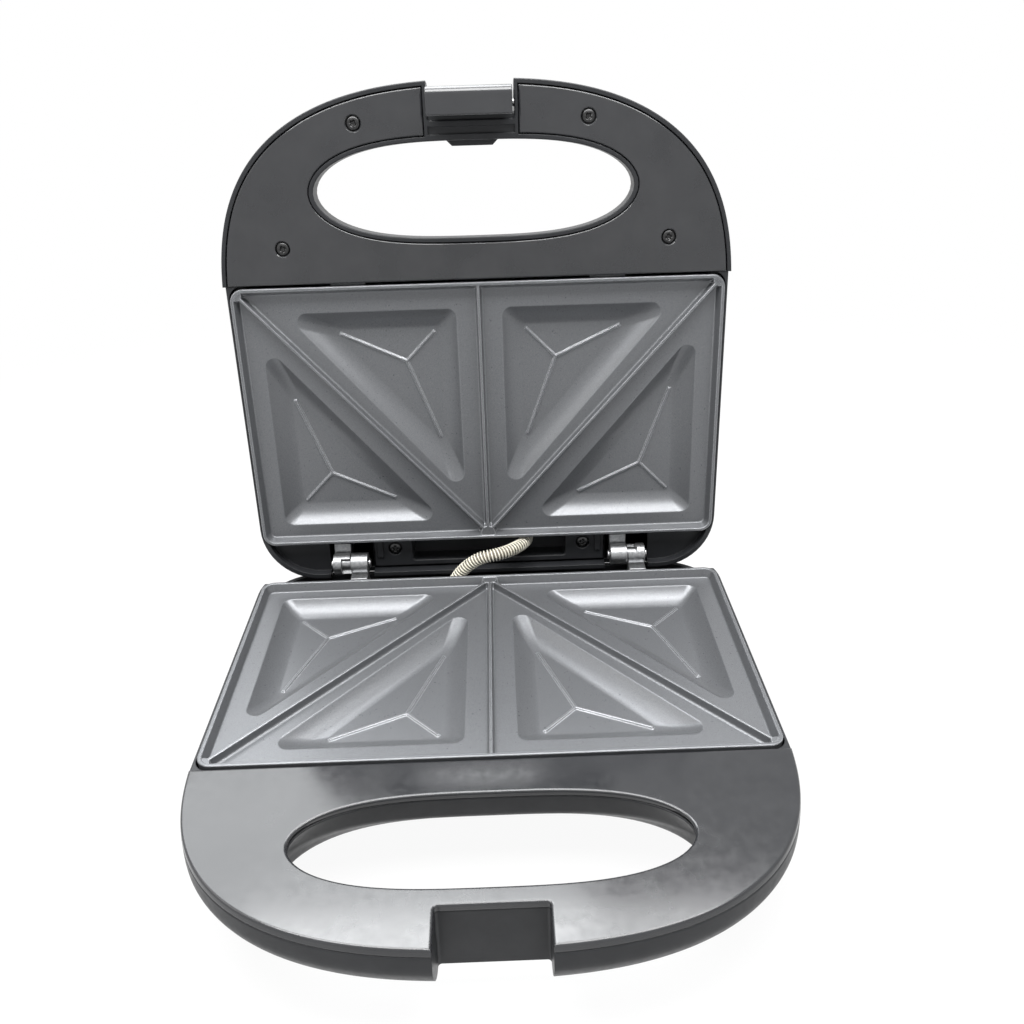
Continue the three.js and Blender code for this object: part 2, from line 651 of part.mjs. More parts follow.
function pilotHoles(half) {
  const [x, y] = REAR_SCREW_PLACE;
  const leafTop = LEAF_DROP + half.outward * AXIS_HEIGHT;
  const rearEnd = rearScrewSeat(half) + SCREW_LENGTH + GAP;
  const leafEnd = leafTop + SCREW_LENGTH + 2 * GAP;
  return [
    ...bothSides.map((side) => post(side * x, -y, shankHole, 0, rearEnd)),
    ...leafPlaces(half).map((leafX) => post(leafX, -LEAF_SCREW_Y, shankHole, leafTop, leafEnd)),
  ];
}

function housing(half) {
  const outer = unite(loft(handleRings(0)), loft(bodyRings(half, 0)));
  const open = cut(outer, loft(ovalRings(0)), notch(0));
  const handleHollow = cut(loft(handleRings(WALL)), loft(everyOther(ovalRings(WALL))), notch(WALL));
  const shell = cut(open, handleHollow, loft(bodyRings(half, WALL)));
  const inner = unite(...coverBosses(half), ...rearBosses(half), ...leafBosses(half), ...cornerDecks(half));
  const seated = cut(unite(shell, inner.intersect(open)), coverRecess(half), plateStep(), ...tabNotches());
  const body = half === lidHalf ? unite(seated, webLedge(), webPad()) : seated;
  const pins = axle(-CLIP_PIVOT_Y, CLIP_PIVOT_DEPTH, CLIP_PIN_RADIUS + GAP,
    -NOTCH_HALF_WIDTH - OVERRUN, NOTCH_HALF_WIDTH + OVERRUN);
  const drilled = cut(body, ...coverBossHoles(half), ...pilotHoles(half));
  return half === lidHalf ? cut(drilled, pins) : drilled;
}

function baseHousing() {
  const rearOpening = box(-BODY_HALF_WIDTH - OVERRUN, BODY_HALF_WIDTH + OVERRUN,
    -PLATE_SETBACK + GAP, BODY_REAR + OVERRUN, -OVERRUN, REAR_WALL_TOP);
  const rearBay = loft(bodyRings(baseHalf, WALL)).intersect(box(-BODY_HALF_WIDTH, BODY_HALF_WIDTH,
    -PLATE_SETBACK + GAP, BODY_REAR, -OVERRUN, BASE_DECK));
  const inlet = (radius, y0, y1) => {
    const geometry = new THREE.CylinderGeometry(radius, radius, y1 - y0, ROUND_STEPS);
    return solid(geometry.translate(INLET_X, (y0 + y1) / 2, INLET_LEVEL));
  };
  const collar = inlet(INLET_COLLAR_RADIUS, BODY_REAR - WALL - INLET_COLLAR_LENGTH, BODY_REAR - WALL);
  const footHoles = footPlaces.map(([, x, y]) => post(
    x, y, FOOT_PEG_RADIUS + GAP, BASE_DEPTH - WALL - GAP, BASE_DEPTH + OVERRUN, FOOT_STEPS));
  const vents = [-1, 0, 1].flatMap((column) => bothSides.map((row) => box(
    column * VENT_PITCH_X - VENT_LENGTH / 2, column * VENT_PITCH_X + VENT_LENGTH / 2,
    -VENT_Y + (row * VENT_PITCH_Y - VENT_WIDTH) / 2, -VENT_Y + (row * VENT_PITCH_Y + VENT_WIDTH) / 2,
    BASE_DEPTH - WALL - OVERRUN / 2, BASE_DEPTH + OVERRUN)));
  const bore = inlet(INLET_RADIUS, BODY_REAR - WALL - INLET_COLLAR_LENGTH - OVERRUN, BODY_REAR + OVERRUN);
  return cut(unite(housing(baseHalf), collar), rearOpening, rearBay, bore, ...footHoles, ...vents);
}

function lidHousing() {
  const ceiling = LID_DEPTH - WALL;
  const posts = bothSides.map((side) => post(
    side * HOLDER_POST_X, -LENS_Y, HOLDER_POST_RADIUS, ceiling - HOLDER_DROP, LID_DEPTH - GAP));
  const postHoles = bothSides.map((side) => post(side * HOLDER_POST_X, -LENS_Y, shankHole, 0, ceiling - GAP));
  const windows = bothSides.map((side) => post(
    side * LENS_X, -LENS_Y, LENS_RADIUS + GAP, ceiling - GAP, LID_DEPTH + OVERRUN, ROUND_STEPS));
  const hingeNotches = bothSides.map((side) => box(
    side * HINGE_OFFSET - HINGE_BAY, side * HINGE_OFFSET + HINGE_BAY,
    -PLATE_SETBACK + GAP, BODY_REAR + OVERRUN, -OVERRUN, HINGE_NOTCH_DEPTH));
  return cut(unite(housing(lidHalf), ...posts), ...postHoles, ...windows, ...hingeNotches);
}

// Handle covers

function handleCover(half) {
  const underside = HANDLE_FACE_GAP + COVER_THICKNESS;
  const lid = half === lidHalf;
  const plate = prism(handleOutline(half.coverInset), HANDLE_FACE_GAP, underside);
  const fixings = coverScrewPlaces.map(([x, y]) => (lid
    ? post(x, y, COVER_PAD_RADIUS, underside - GAP, underside + COVER_PAD_HEIGHT)
    : post(x, y, COVER_POST_RADIUS, underside - GAP, underside + COVER_POST_LENGTH)));
  const clamps = bothSides.map((side) => box(
    side * TAB_OFFSET - TAB_WIDTH / 2, side * TAB_OFFSET + TAB_WIDTH / 2, -HANDLE_BACK - TAB_LENGTH / 2,
    -HANDLE_BACK - GAP, underside - GAP, plateUnderside - HOOK_THICKNESS - GAP));
  const holes = coverScrewPlaces.map(([x, y]) => (lid
    ? counterbore(x, y, coverScrewSeat, HANDLE_DEPTH)
    : post(x, y, shankHole, underside, HANDLE_DEPTH)));
  const passage = lid ? ledgeCorridor(NOTCH_RIM + GAP, HANDLE_DEPTH) : notch(0);
  return cut(unite(plate, ...fixings, ...clamps), loft(ovalRings(half.coverInset)), passage, ...holes);
}

const coverScrewSeat = HANDLE_FACE_GAP + SCREW_HEAD_HEIGHT + GAP;

// Rear covers, each with the bay that the conduit crosses

function rearCover(half) {
  const underside = half.deck + REAR_COVER_SHEET;
  const bayTop = Math.max(half.deck, plateUnderside + 2 * GAP);
  const [screwX, screwY] = REAR_SCREW_PLACE;
  const [holeX, holeY] = half.conduit;
  const deck = box(-REAR_COVER_HALF_WIDTH, REAR_COVER_HALF_WIDTH, -PLATE_SETBACK + GAP, REAR_COVER_END,
    half.deck, underside);
  const bayWalls = box(-BAY_HALF_WIDTH - REAR_COVER_SHEET, BAY_HALF_WIDTH + REAR_COVER_SHEET,
    -BAY_FRONT - REAR_COVER_SHEET, BAY_REAR + REAR_COVER_SHEET, bayTop, underside + BAY_DEPTH);
  const pads = bothSides.map((side) => post(
    side * screwX, -screwY, COVER_PAD_RADIUS, half.deck, underside + SCREW_HEAD_HEIGHT));
  const ribs = bothSides.map((side) => box(
    side * COVER_RIB_OFFSET - COVER_RIB_WIDTH / 2, side * COVER_RIB_OFFSET + COVER_RIB_WIDTH / 2,
    -PLATE_SETBACK + GAP, -BAY_REAR, half.deck - COVER_RIB_HEIGHT, underside));
  const bay = box(-BAY_HALF_WIDTH, BAY_HALF_WIDTH, -BAY_FRONT, BAY_REAR, -OVERRUN, half.deck + BAY_DEPTH);
  const heads = bothSides.map((side) => counterbore(side * screwX, -screwY, rearScrewSeat(half), half.depth));
  const wireHole = post(holeX, -holeY, BAY_HOLE_RADIUS, half.deck, half.depth, ROUND_STEPS);
  return cut(unite(deck, bayWalls, ...pads, ...ribs), bay, wireHole, ...heads);
}

const rearScrewSeat = (half) => half.deck + SCREW_HEAD_HEIGHT + GAP;

// Cooking plates

// The two pockets of the right-hand square: right angle first, then anticlockwise
function pocketCorners(kind, side) {
  const middle = kind === 'inner';
  const x = middle ? POCKET_LAND_MIDDLE : PLATE_WIDTH / 2 - POCKET_LAND_SIDE;
  const y = middle ? -plateFront + POCKET_LAND_FRONT : -PLATE_SETBACK - POCKET_LAND_REAR;
  const away = middle ? 1 : -1;
  const square = at(side * x, y);
  const across = at(side * (x + away * POCKET_LENGTH), y);
  const along = at(side * x, y + away * POCKET_REACH);
  return side > 0 ? [square, across, along] : [square, along, across];
}

function pocketRings(corners, spread, drop) {
  return pocketShares.map(([down, drawn]) => {
    const radius = POCKET_CORNER + (POCKET_BOTTOM_CORNER - POCKET_CORNER) * drawn + spread;
    return {
      outline: rounded(insetCorners(corners, POCKET_SLOPE * drawn - spread), corners.map(() => radius)),
      depth: FLOOR_DEPTH + POCKET_DEPTH * down + drop,
    };
  });
}

function incentre([a, b, c]) {
  const sides = [b.distanceTo(c), c.distanceTo(a), a.distanceTo(b)];
  const sum = at(0, 0).addScaledVector(a, sides[0]).addScaledVector(b, sides[1]).addScaledVector(c, sides[2]);
  return sum.divideScalar(sides[0] + sides[1] + sides[2]);
}

function bar(from, to, halfWidth, overshoot = 0) {
  const along = to.clone().sub(from).normalize();
  const aside = at(along.y, -along.x).multiplyScalar(halfWidth);
  const end = to.clone().addScaledVector(along, overshoot);
  return [from.clone().add(aside), end.clone().add(aside), end.clone().sub(aside), from.clone().sub(aside)];
}

function pocketRibs(corners) {
  const centre = incentre(corners);
  const bottom = FLOOR_DEPTH + POCKET_DEPTH;
  return corners.map((corner) => {
    const end = centre.clone().lerp(corner, ribReachShare);
    return loft([
      { outline: bar(centre, end, RIB_WIDTH / 2 - RIB_DRAFT, -RIB_DRAFT), depth: bottom - RIB_HEIGHT },
      { outline: bar(centre, end, RIB_WIDTH / 2), depth: bottom + PLATE_THICKNESS / 2 },
    ]);
  });
}

function ridge(from, to) {
  const root = FLOOR_DEPTH + PLATE_THICKNESS / 2;
  const stages = [[RIDGE_GAP, 0], [FLOOR_DEPTH, RIDGE_FLARE], [root, RIDGE_FLARE]];
  return loft(stages.map(([depth, flare]) => ({ outline: bar(from, to, RIDGE_WIDTH / 2 + flare), depth })));
}

function plate(half) {
  const blank = prism(plateOutline(0), CREST_GAP, plateUnderside);
  const recess = loft([
    { outline: plateOutline(CREST_WIDTH), depth: -OVERRUN },
    { outline: plateOutline(CREST_WIDTH), depth: CREST_GAP },
    { outline: plateOutline(CREST_WIDTH + CREST_FLARE), depth: FLOOR_DEPTH },
  ]);
  const node = at(0, -PLATE_SETBACK - RIDGE_NODE_INSET);
  const cornerX = PLATE_WIDTH / 2 - RIDGE_CORNER_INSET;
  const corner = (side) => at(side * cornerX, -plateFront + RIDGE_CORNER_INSET);
  const ridges = [corner(-1), corner(1), at(0, -plateFront + CREST_WIDTH / 2)].map((end) => ridge(node, end));
  const hub = turned(node.x, node.y, ROUND_STEPS, [
    [RIDGE_NODE_RADIUS, RIDGE_GAP], [RIDGE_NODE_RADIUS + CREST_FLARE, FLOOR_DEPTH],
    [RIDGE_NODE_RADIUS + CREST_FLARE, FLOOR_DEPTH + PLATE_THICKNESS / 2]]);
  const pockets = bothSides.flatMap((side) => ['inner', 'outer'].map((kind) => pocketCorners(kind, side)));
  const shells = pockets.map((corners) => {
    const rings = pocketRings(corners, PLATE_THICKNESS, PLATE_THICKNESS);
    return loft([rings[0], rings.at(-1)]);
  });
  const hollows = pockets.map((corners) => {
    const rings = pocketRings(corners, 0, 0);
    return loft([{ ...rings[0], depth: FLOOR_DEPTH - CREST_GAP }, ...rings]);
  });
  const ribs = pockets.flatMap(pocketRibs);
  const tray = cut(blank, recess);
  const fittings = [...plateStuds(), ...plateTabs(), ...plateHooks(half)];
  const raised = unite(...ridges, hub).intersect(blank);
  const bores = STUD_PLACES.map(([x, y]) => post(x, -y, shankHole, plateUnderside + GAP, reflectorDepth));
  return cut(unite(cut(unite(tray, ...shells, ...fittings), ...hollows), raised, ...ribs), ...bores);
}

const plateStuds = () => STUD_PLACES.map(([x, y]) => post(
  x, -y, STUD_RADIUS, plateUnderside - GAP, reflectorDepth - GAP));

const plateTabs = () => bothSides.map((side) => box(
  side * TAB_OFFSET - TAB_WIDTH / 2, side * TAB_OFFSET + TAB_WIDTH / 2,
  -plateFront - TAB_LENGTH, -plateFront + CREST_WIDTH, plateUnderside - HOOK_THICKNESS, plateUnderside));

function plateHooks(half) {
  const foot = Math.max(half.deck + REAR_COVER_SHEET, plateUnderside) + GAP;
  return bothSides.flatMap((side) => {
    const [x0, x1] = [side * HOOK_OFFSET - HOOK_WIDTH / 2, side * HOOK_OFFSET + HOOK_WIDTH / 2];
    const front = -PLATE_SETBACK - HOOK_THICKNESS - GAP;
    return [
      box(x0, x1, front, -PLATE_SETBACK - GAP, plateUnderside - GAP, foot + HOOK_THICKNESS),
      box(x0, x1, front, -PLATE_SETBACK + HOOK_REACH, foot, foot + HOOK_THICKNESS),
    ];
  });
}

// Heating pieces under each plate

function heater() {
  const x = PLATE_WIDTH / 2 - HEATER_SIDE_INSET;
  const front = -plateFront + HEATER_FRONT_INSET;
  const point = (px, py) => new THREE.Vector3(px, py, heaterDepth);
  const [leftEnd, leftBend] = [point(-x, -HEATER_START), point(-x, front + HEATER_BEND)];
  const [leftFront, rightFront] = [point(-x + HEATER_BEND, front), point(x - HEATER_BEND, front)];
  const [rightBend, rightEnd] = [point(x, front + HEATER_BEND), point(x, -HEATER_START)];
  const path = new THREE.CurvePath();
  path.add(new THREE.LineCurve3(leftEnd, leftBend));
  path.add(new THREE.QuadraticBezierCurve3(leftBend, point(-x, front), leftFront));
  path.add(new THREE.LineCurve3(leftFront, rightFront));
  path.add(new THREE.QuadraticBezierCurve3(rightFront, point(x, front), rightBend));
  path.add(new THREE.LineCurve3(rightBend, rightEnd));
  return tube(path, HEATER_RADIUS, POST_STEPS, TUBE_STEPS);
}

function reflector(half) {
  const halfWidth = PLATE_WIDTH / 2 - REFLECTOR_INSET;
  const front = -plateFront + REFLECTOR_INSET;
  const outline = (inset) => {
    const corners = insetCorners(rectangle(halfWidth, front, -REFLECTOR_START), inset);
    return rounded(corners, corners.map(() => REFLECTOR_CORNER - inset));
  };
  const tray = prism(outline(0), reflectorDepth - REFLECTOR_LIP, reflectorDepth + SHEET_STEEL);
  const hollow = prism(outline(SHEET_STEEL), -OVERRUN, reflectorDepth);
  const holes = STUD_PLACES.map(([x, y]) => post(x, -y, shankHole, 0, half.depth));
  const window = post(0, -THERMOSTAT_Y, THERMOSTAT_RADIUS + GAP, 0, half.depth, ROUND_STEPS);
  return half === baseHalf ? cut(tray, hollow, window, ...holes) : cut(tray, hollow, ...holes);
}

function thermostat() {
  const top = plateUnderside + GAP;
  const can = turned(0, -THERMOSTAT_Y, ROUND_STEPS, [
    [THERMOSTAT_RADIUS, top], [THERMOSTAT_RADIUS, top + THERMOSTAT_HEIGHT],
    [THERMOSTAT_CAP_RADIUS, top + THERMOSTAT_HEIGHT],
    [THERMOSTAT_CAP_RADIUS, top + THERMOSTAT_HEIGHT + THERMOSTAT_CAP_HEIGHT]]);
  const blades = bothSides.map((side) => box(
    side * THERMOSTAT_CAP_RADIUS / 2 - SHEET_STEEL / 2, side * THERMOSTAT_CAP_RADIUS / 2 + SHEET_STEEL / 2,
    -THERMOSTAT_Y - THERMOSTAT_BLADE / 2, -THERMOSTAT_Y + THERMOSTAT_BLADE / 2,
    top + THERMOSTAT_HEIGHT, top + THERMOSTAT_HEIGHT + THERMOSTAT_CAP_HEIGHT + THERMOSTAT_BLADE));
  return unite(can, ...blades);
}

function fuse() {
  const geometry = new THREE.CylinderGeometry(FUSE_RADIUS, FUSE_RADIUS, FUSE_LENGTH, POST_STEPS);
  return solid(geometry.translate(0, -FUSE_Y, plateUnderside + GAP + FUSE_RADIUS));
}

function terminalBlock() {
  const floor = BASE_DEPTH - WALL - GAP;
  const block = box(TERMINAL_X - TERMINAL_WIDTH / 2, TERMINAL_X + TERMINAL_WIDTH / 2,
    -TERMINAL_Y - TERMINAL_BREADTH / 2, -TERMINAL_Y + TERMINAL_BREADTH / 2, floor - TERMINAL_HEIGHT, floor);
  const wells = [-1, 0, 1].map((place) => post(
    TERMINAL_X + (place * TERMINAL_WIDTH) / 3, -TERMINAL_Y, TERMINAL_BORE, 0, floor - TERMINAL_HEIGHT / 3));
  return cut(block, ...wells);
}

// Hinges. A collared leaf carries half a collar, which swings against the lug of its mate.

function leafBlock(half, x0, x1) {
  const axis = half.outward * AXIS_HEIGHT;
  const neck = box(x0, x1, -NECK_FAR, -NECK_NEAR, axis + NECK_START, axis + LEAF_DROP + GAP);
  const foot = box(x0, x1, -LEAF_LENGTH, -NECK_NEAR, axis + LEAF_DROP, axis + LEAF_DROP + LEAF_THICKNESS);
  const hole = post((x0 + x1) / 2, -LEAF_SCREW_Y, shankHole, 0, half.depth);
  return cut(unite(neck, foot), hole);
}

// The mate lies on the side of the hinge centre that towards names
function hingeLeaf(half, centre, towards, collared) {
  const axis = half.outward * AXIS_HEIGHT;
  const near = centre - (towards * GAP) / 2;
  const far = near - towards * KNUCKLE_LENGTH;
  const split = near - towards * KNUCKLE_COLLAR;
  const span = (a, b) => [Math.min(a, b), Math.max(a, b)];
  const boreEnd = centre + towards * 2 * OVERRUN;
  const bore = axle(0, axis, HINGE_PIN_RADIUS + GAP, ...span(far - towards * OVERRUN, boreEnd));
  const leaf = leafBlock(half, ...span(near, far));
  if (collared) {
    const knuckle = axle(0, axis, KNUCKLE_RADIUS, ...span(split, far));
    const clearance = axle(0, axis, HINGE_HUB_RADIUS + GAP, ...span(split, near + towards * GAP));
    const collar = ringSector(0, axis, KNUCKLE_RADIUS, HINGE_HUB_RADIUS + GAP,
      -STOP_LEAD_DEGREES, STOP_SPAN_DEGREES - STOP_LEAD_DEGREES, ...span(split - towards * GAP, near));
    return cut(unite(cut(leaf, clearance), knuckle, collar), bore);
  }
  const reach = near + towards * (GAP + KNUCKLE_COLLAR);
  const stopGap = THREE.MathUtils.radToDeg((2 * GAP) / (KNUCKLE_RADIUS + HINGE_HUB_RADIUS));
  const lugStart = STOP_LEAD_DEGREES + 2 * stopGap;
  const lugEnd = 360 - OPEN_DEGREES - STOP_SPAN_DEGREES + STOP_LEAD_DEGREES - stopGap;
  const knuckle = axle(0, axis, KNUCKLE_RADIUS, ...span(near, far));
  const hub = axle(0, axis, HINGE_HUB_RADIUS, ...span(near - towards * GAP, reach));
  const lug = ringSector(0, axis, KNUCKLE_RADIUS, HINGE_HUB_RADIUS - GAP,
    lugStart, lugEnd, ...span(near - towards * GAP, reach));
  return cut(unite(leaf, knuckle, hub, lug), bore);
}

function hingePin(centre) {
  const axis = baseHalf.outward * AXIS_HEIGHT;
  const end = GAP / 2 + KNUCKLE_LENGTH + GAP;
  const heads = bothSides.map((side) => {
    const [x0, x1] = [centre + side * end, centre + side * (end + HINGE_PIN_HEAD)].sort((a, b) => a - b);
    return axle(0, axis, HINGE_PIN_HEAD_RADIUS, x0, x1);
  });
  return unite(axle(0, axis, HINGE_PIN_RADIUS, centre - end - GAP, centre + end + GAP), ...heads);
}

// Latch clip, drawn about its pivot as it hangs beside the hooked position

function quarterRound(corner, radius) {
  return Array.from({ length: CORNER_STEPS + 1 }, (_, i) => {
    const angle = (Math.PI * i) / (2 * CORNER_STEPS);
    return at(corner.x + radius * (1 - Math.cos(angle)), corner.y + radius * (1 - Math.sin(angle)));
  });
}

function latchClip() {
  const place = (y, depth) => at(-CLIP_PIVOT_Y + y, CLIP_PIVOT_DEPTH + depth);
  const hookBottom = -CLIP_HOOK_LEVEL - CLIP_HOOK_THICKNESS;
  const skin = acrossX([
    place(-CLIP_TOP_OUTER, CLIP_TOP), place(-CLIP_OUTER, CLIP_SHOULDER),
    ...quarterRound(place(-CLIP_OUTER, hookBottom), CLIP_EDGE),
    place(CLIP_HOOK_TIP - CLIP_TIP_EDGE, hookBottom), place(CLIP_HOOK_TIP, hookBottom + CLIP_TIP_EDGE),
    place(CLIP_HOOK_TIP, -CLIP_HOOK_LEVEL),
    place(-CLIP_OUTER + CLIP_SKIN, -CLIP_HOOK_LEVEL), place(-CLIP_OUTER + CLIP_SKIN, CLIP_SHOULDER),
    place(CLIP_SKIN - CLIP_TOP_OUTER, CLIP_TOP),
  ], -CLIP_HALF_WIDTH, CLIP_HALF_WIDTH);
  const ribs = bothSides.flatMap((side) => {
    const [x0, x1] = [side * (CLIP_HALF_WIDTH - CLIP_RIB), side * CLIP_HALF_WIDTH].sort((a, b) => a - b);
    return [
      acrossX([
        place(-CLIP_OUTER + GAP, CLIP_SHOULDER), place(-CLIP_OUTER + GAP, -CLIP_HOOK_LEVEL - GAP),
        place(CLIP_RIB_INNER, -CLIP_HOOK_LEVEL - GAP), place(CLIP_RIB_INNER, 0)], x0, x1),
      axle(-CLIP_PIVOT_Y, CLIP_PIVOT_DEPTH, CLIP_BOSS_RADIUS, x0, x1),
    ];
  });
  const boreEnd = CLIP_HALF_WIDTH + GAP;
  const bore = axle(-CLIP_PIVOT_Y, CLIP_PIVOT_DEPTH, CLIP_PIN_RADIUS + GAP, -boreEnd, boreEnd);
  return cut(unite(skin, ...ribs), bore);
}

function latchPin() {
  const end = NOTCH_HALF_WIDTH + WALL - GAP;
  return axle(-CLIP_PIVOT_Y, CLIP_PIVOT_DEPTH, CLIP_PIN_RADIUS, -end, end);
}

// Feet and lamps

const footPlaces = [
  ['front_left', -FOOT_X, -FOOT_FRONT_Y], ['front_right', FOOT_X, -FOOT_FRONT_Y],
  ['rear_left', -FOOT_X, -FOOT_REAR_Y], ['rear_right', FOOT_X, -FOOT_REAR_Y],
];

function foot(x, y) {
  const inside = BASE_DEPTH - WALL - GAP;
  const outside = BASE_DEPTH + GAP;
  return turned(x, y, FOOT_STEPS, [
    [FOOT_TIP_RADIUS, inside - FOOT_BARB_LENGTH], [FOOT_BARB_RADIUS, inside], [FOOT_PEG_RADIUS, inside],
    [FOOT_PEG_RADIUS, outside], [FOOT_RADIUS, outside], [FOOT_RADIUS, outside + FOOT_HEIGHT - FOOT_BEVEL],
    [FOOT_RADIUS - FOOT_BEVEL, outside + FOOT_HEIGHT]]);
}

function lens(side) {
  const flangeTop = LID_DEPTH - WALL - GAP;
  return turned(side * LENS_X, -LENS_Y, ROUND_STEPS, [
    [LENS_FLANGE_RADIUS, flangeTop - LENS_FLANGE], [LENS_FLANGE_RADIUS, flangeTop], [LENS_RADIUS, flangeTop],
    [LENS_RADIUS, LID_DEPTH + LENS_RISE / 2], [LENS_RADIUS - LENS_RISE, LID_DEPTH + LENS_RISE]]);
}

const holderDepth = LID_DEPTH - WALL - HOLDER_DROP - GAP;

function lampHolder() {
  const board = box(-HOLDER_LENGTH / 2, HOLDER_LENGTH / 2,
    -LENS_Y - HOLDER_WIDTH / 2, -LENS_Y + HOLDER_WIDTH / 2, holderDepth - REAR_COVER_SHEET, holderDepth);
  const sockets = bothSides.map((side) => post(side * LENS_X, -LENS_Y, LAMP_RADIUS + GAP + SHEET_STEEL,
    holderDepth - GAP, holderDepth + LAMP_RADIUS, ROUND_STEPS));
  const wells = bothSides.map((side) => post(side * LENS_X, -LENS_Y, LAMP_RADIUS + GAP,
    holderDepth, holderDepth + LAMP_LENGTH, ROUND_STEPS));
  const pegs = bothSides.map((side) => post(side * HOLDER_POST_X, -LENS_Y, SCREW_SHANK_RADIUS,
    holderDepth - GAP, holderDepth + HOLDER_DROP / 2));
  return unite(cut(unite(board, ...sockets), ...wells), ...pegs);
}

function lamp(side) {
  const start = holderDepth + GAP;
  const end = start + LAMP_LENGTH;
  return turned(side * LENS_X, -LENS_Y, ROUND_STEPS, [
    [LAMP_RADIUS, start], [LAMP_RADIUS, end - LAMP_TIP_RADIUS], [LAMP_TIP_RADIUS, end]]);
}

// Conduit: its route is drawn with the lid open, from the base's bay to the lid's

function openLid(vector) {
  const angle = THREE.MathUtils.degToRad(-OPEN_DEGREES);
  const axis = new THREE.Vector3(0, 0, AXIS_HEIGHT);
  return vector.clone().sub(axis).applyAxisAngle(new THREE.Vector3(1, 0, 0), angle).add(axis);
}

function conduitRoute(tail) {
  const [baseX, baseY] = CONDUIT_BASE_PLACE;
  const [lidX, lidY] = CONDUIT_LID_PLACE;
  const base = (height) => new THREE.Vector3(baseX, -baseY, height - BASE_DECK - BAY_DEPTH);
  const lid = (height) => openLid(new THREE.Vector3(lidX, -lidY, LID_DECK + BAY_DEPTH - height));
  const crest = new THREE.Vector3(CONDUIT_CREST_PLACE[0], -CONDUIT_CREST_PLACE[1], CONDUIT_CREST);
  const [start, end] = [base(CONDUIT_STRAIGHT), lid(CONDUIT_STRAIGHT)];
  const rise = quarterShare * (crest.z - start.z);
  const run = quarterShare * (end.y - crest.y);
  const aside = (x) => new THREE.Vector3(crest.x + quarterShare * (x - crest.x), crest.y, crest.z);
  const route = new THREE.CurvePath();
  route.add(new THREE.LineCurve3(base(tail), start));
  route.add(new THREE.CubicBezierCurve3(start, base(CONDUIT_STRAIGHT + rise), aside(baseX), crest));
  route.add(new THREE.CubicBezierCurve3(crest, aside(lidX), lid(CONDUIT_STRAIGHT + run), end));
  route.add(new THREE.LineCurve3(end, lid(tail)));
  return route;
}

function conduitCurls() {
  const route = conduitRoute(GAP + CONDUIT_WIRE / 2);
  const turns = Math.floor(route.getLength() / CONDUIT_PITCH);
  const steps = turns * CURL_STEPS;
  const frames = route.computeFrenetFrames(steps, false);
  const points = Array.from({ length: steps + 1 }, (_, i) => {
    const angle = (2 * Math.PI * i) / CURL_STEPS;
    return route.getPointAt(i / steps)
      .addScaledVector(frames.normals[i], CONDUIT_RADIUS * Math.cos(angle))
      .addScaledVector(frames.binormals[i], CONDUIT_RADIUS * Math.sin(angle));
  });
  return { points, steps, turns };
}

// Least distance between wire surfaces that lie more than half a turn apart
function leastGap(points) {
  let least = Infinity;
  for (let i = 0; i < points.length; i += 1) {
    for (let j = i + CURL_STEPS / 2 + 1; j < Math.min(points.length, i + 3 * CURL_STEPS); j += 1) {
      least = Math.min(least, points[i].distanceTo(points[j]));
    }
  }
  return least - CONDUIT_WIRE;
}

function conduitSpring() {
  const { points, steps, turns } = conduitCurls();
  console.log(`conduit spring: ${turns} curls, least gap between curls ${leastGap(points).toFixed(2)} mm`);
  return tube(new THREE.CatmullRomCurve3(points), CONDUIT_WIRE / 2, CURL_SIDES, steps);
}

function conduitWires() {
  return tube(conduitRoute(-CONDUIT_TAIL), CONDUIT_CORE_RADIUS, POST_STEPS, TUBE_STEPS);
}

// Assembly of one half that both share
function buildHalf(half, label, plateName) {
  piece(half, `${label}_handle_cover`, handleCover(half), 0x16181b, 0.22, 0);
  piece(half, `${label}_rear_cover`, rearCover(half), 0x131417, 0.3, 0);
  piece(half, `${plateName}_plate`, plate(half), 0x6a6d70, 0.5, 0.6);
  piece(half, `${plateName}_heater`, heater(), 0x8f8a83, 0.45, 0.8);
  piece(half, `${plateName}_reflector`, reflector(half), 0xb9bcc0, 0.35, 0.9);
  STUD_PLACES.forEach(([x, y], i) => piece(half, `${plateName}_reflector_screw_${i + 1}`,
    screw(x, -y, reflectorDepth + SHEET_STEEL, SHORT_SCREW_LENGTH, -1), 0xa9acb0, 0.4, 0.9));
  coverScrewPlaces.forEach(([x, y], i) => piece(half, `${label}_cover_screw_${i + 1}`, half === lidHalf
    ? screw(x, y, coverScrewSeat, SCREW_LENGTH, 1, SCREW_STEPS)
    : screw(x, y, BASE_SCREW_SEAT, SCREW_LENGTH, -1), 0x55585c, 0.4, 0.8));
  bothSides.forEach((side, i) => {
    const sideName = i === 0 ? 'left' : 'right';
    const [x, y] = REAR_SCREW_PLACE;
    piece(half, `${label}_rear_screw_${sideName}`,
      screw(side * x, -y, rearScrewSeat(half), SCREW_LENGTH, 1, SCREW_STEPS), 0x55585c, 0.4, 0.8);
    const leafSeat = LEAF_DROP + half.outward * AXIS_HEIGHT;
    piece(half, `hinge_${sideName}_${label}_screw`,
      screw(leafPlaces(half)[i], -LEAF_SCREW_Y, leafSeat, SCREW_LENGTH, 1), 0xa9acb0, 0.4, 0.9);
    piece(half, `hinge_${sideName}_${label}_leaf`,
      hingeLeaf(half, side * HINGE_OFFSET, half.outward, side * half.outward < 0), 0xb4b7ba, 0.35, 0.9);
  });
}

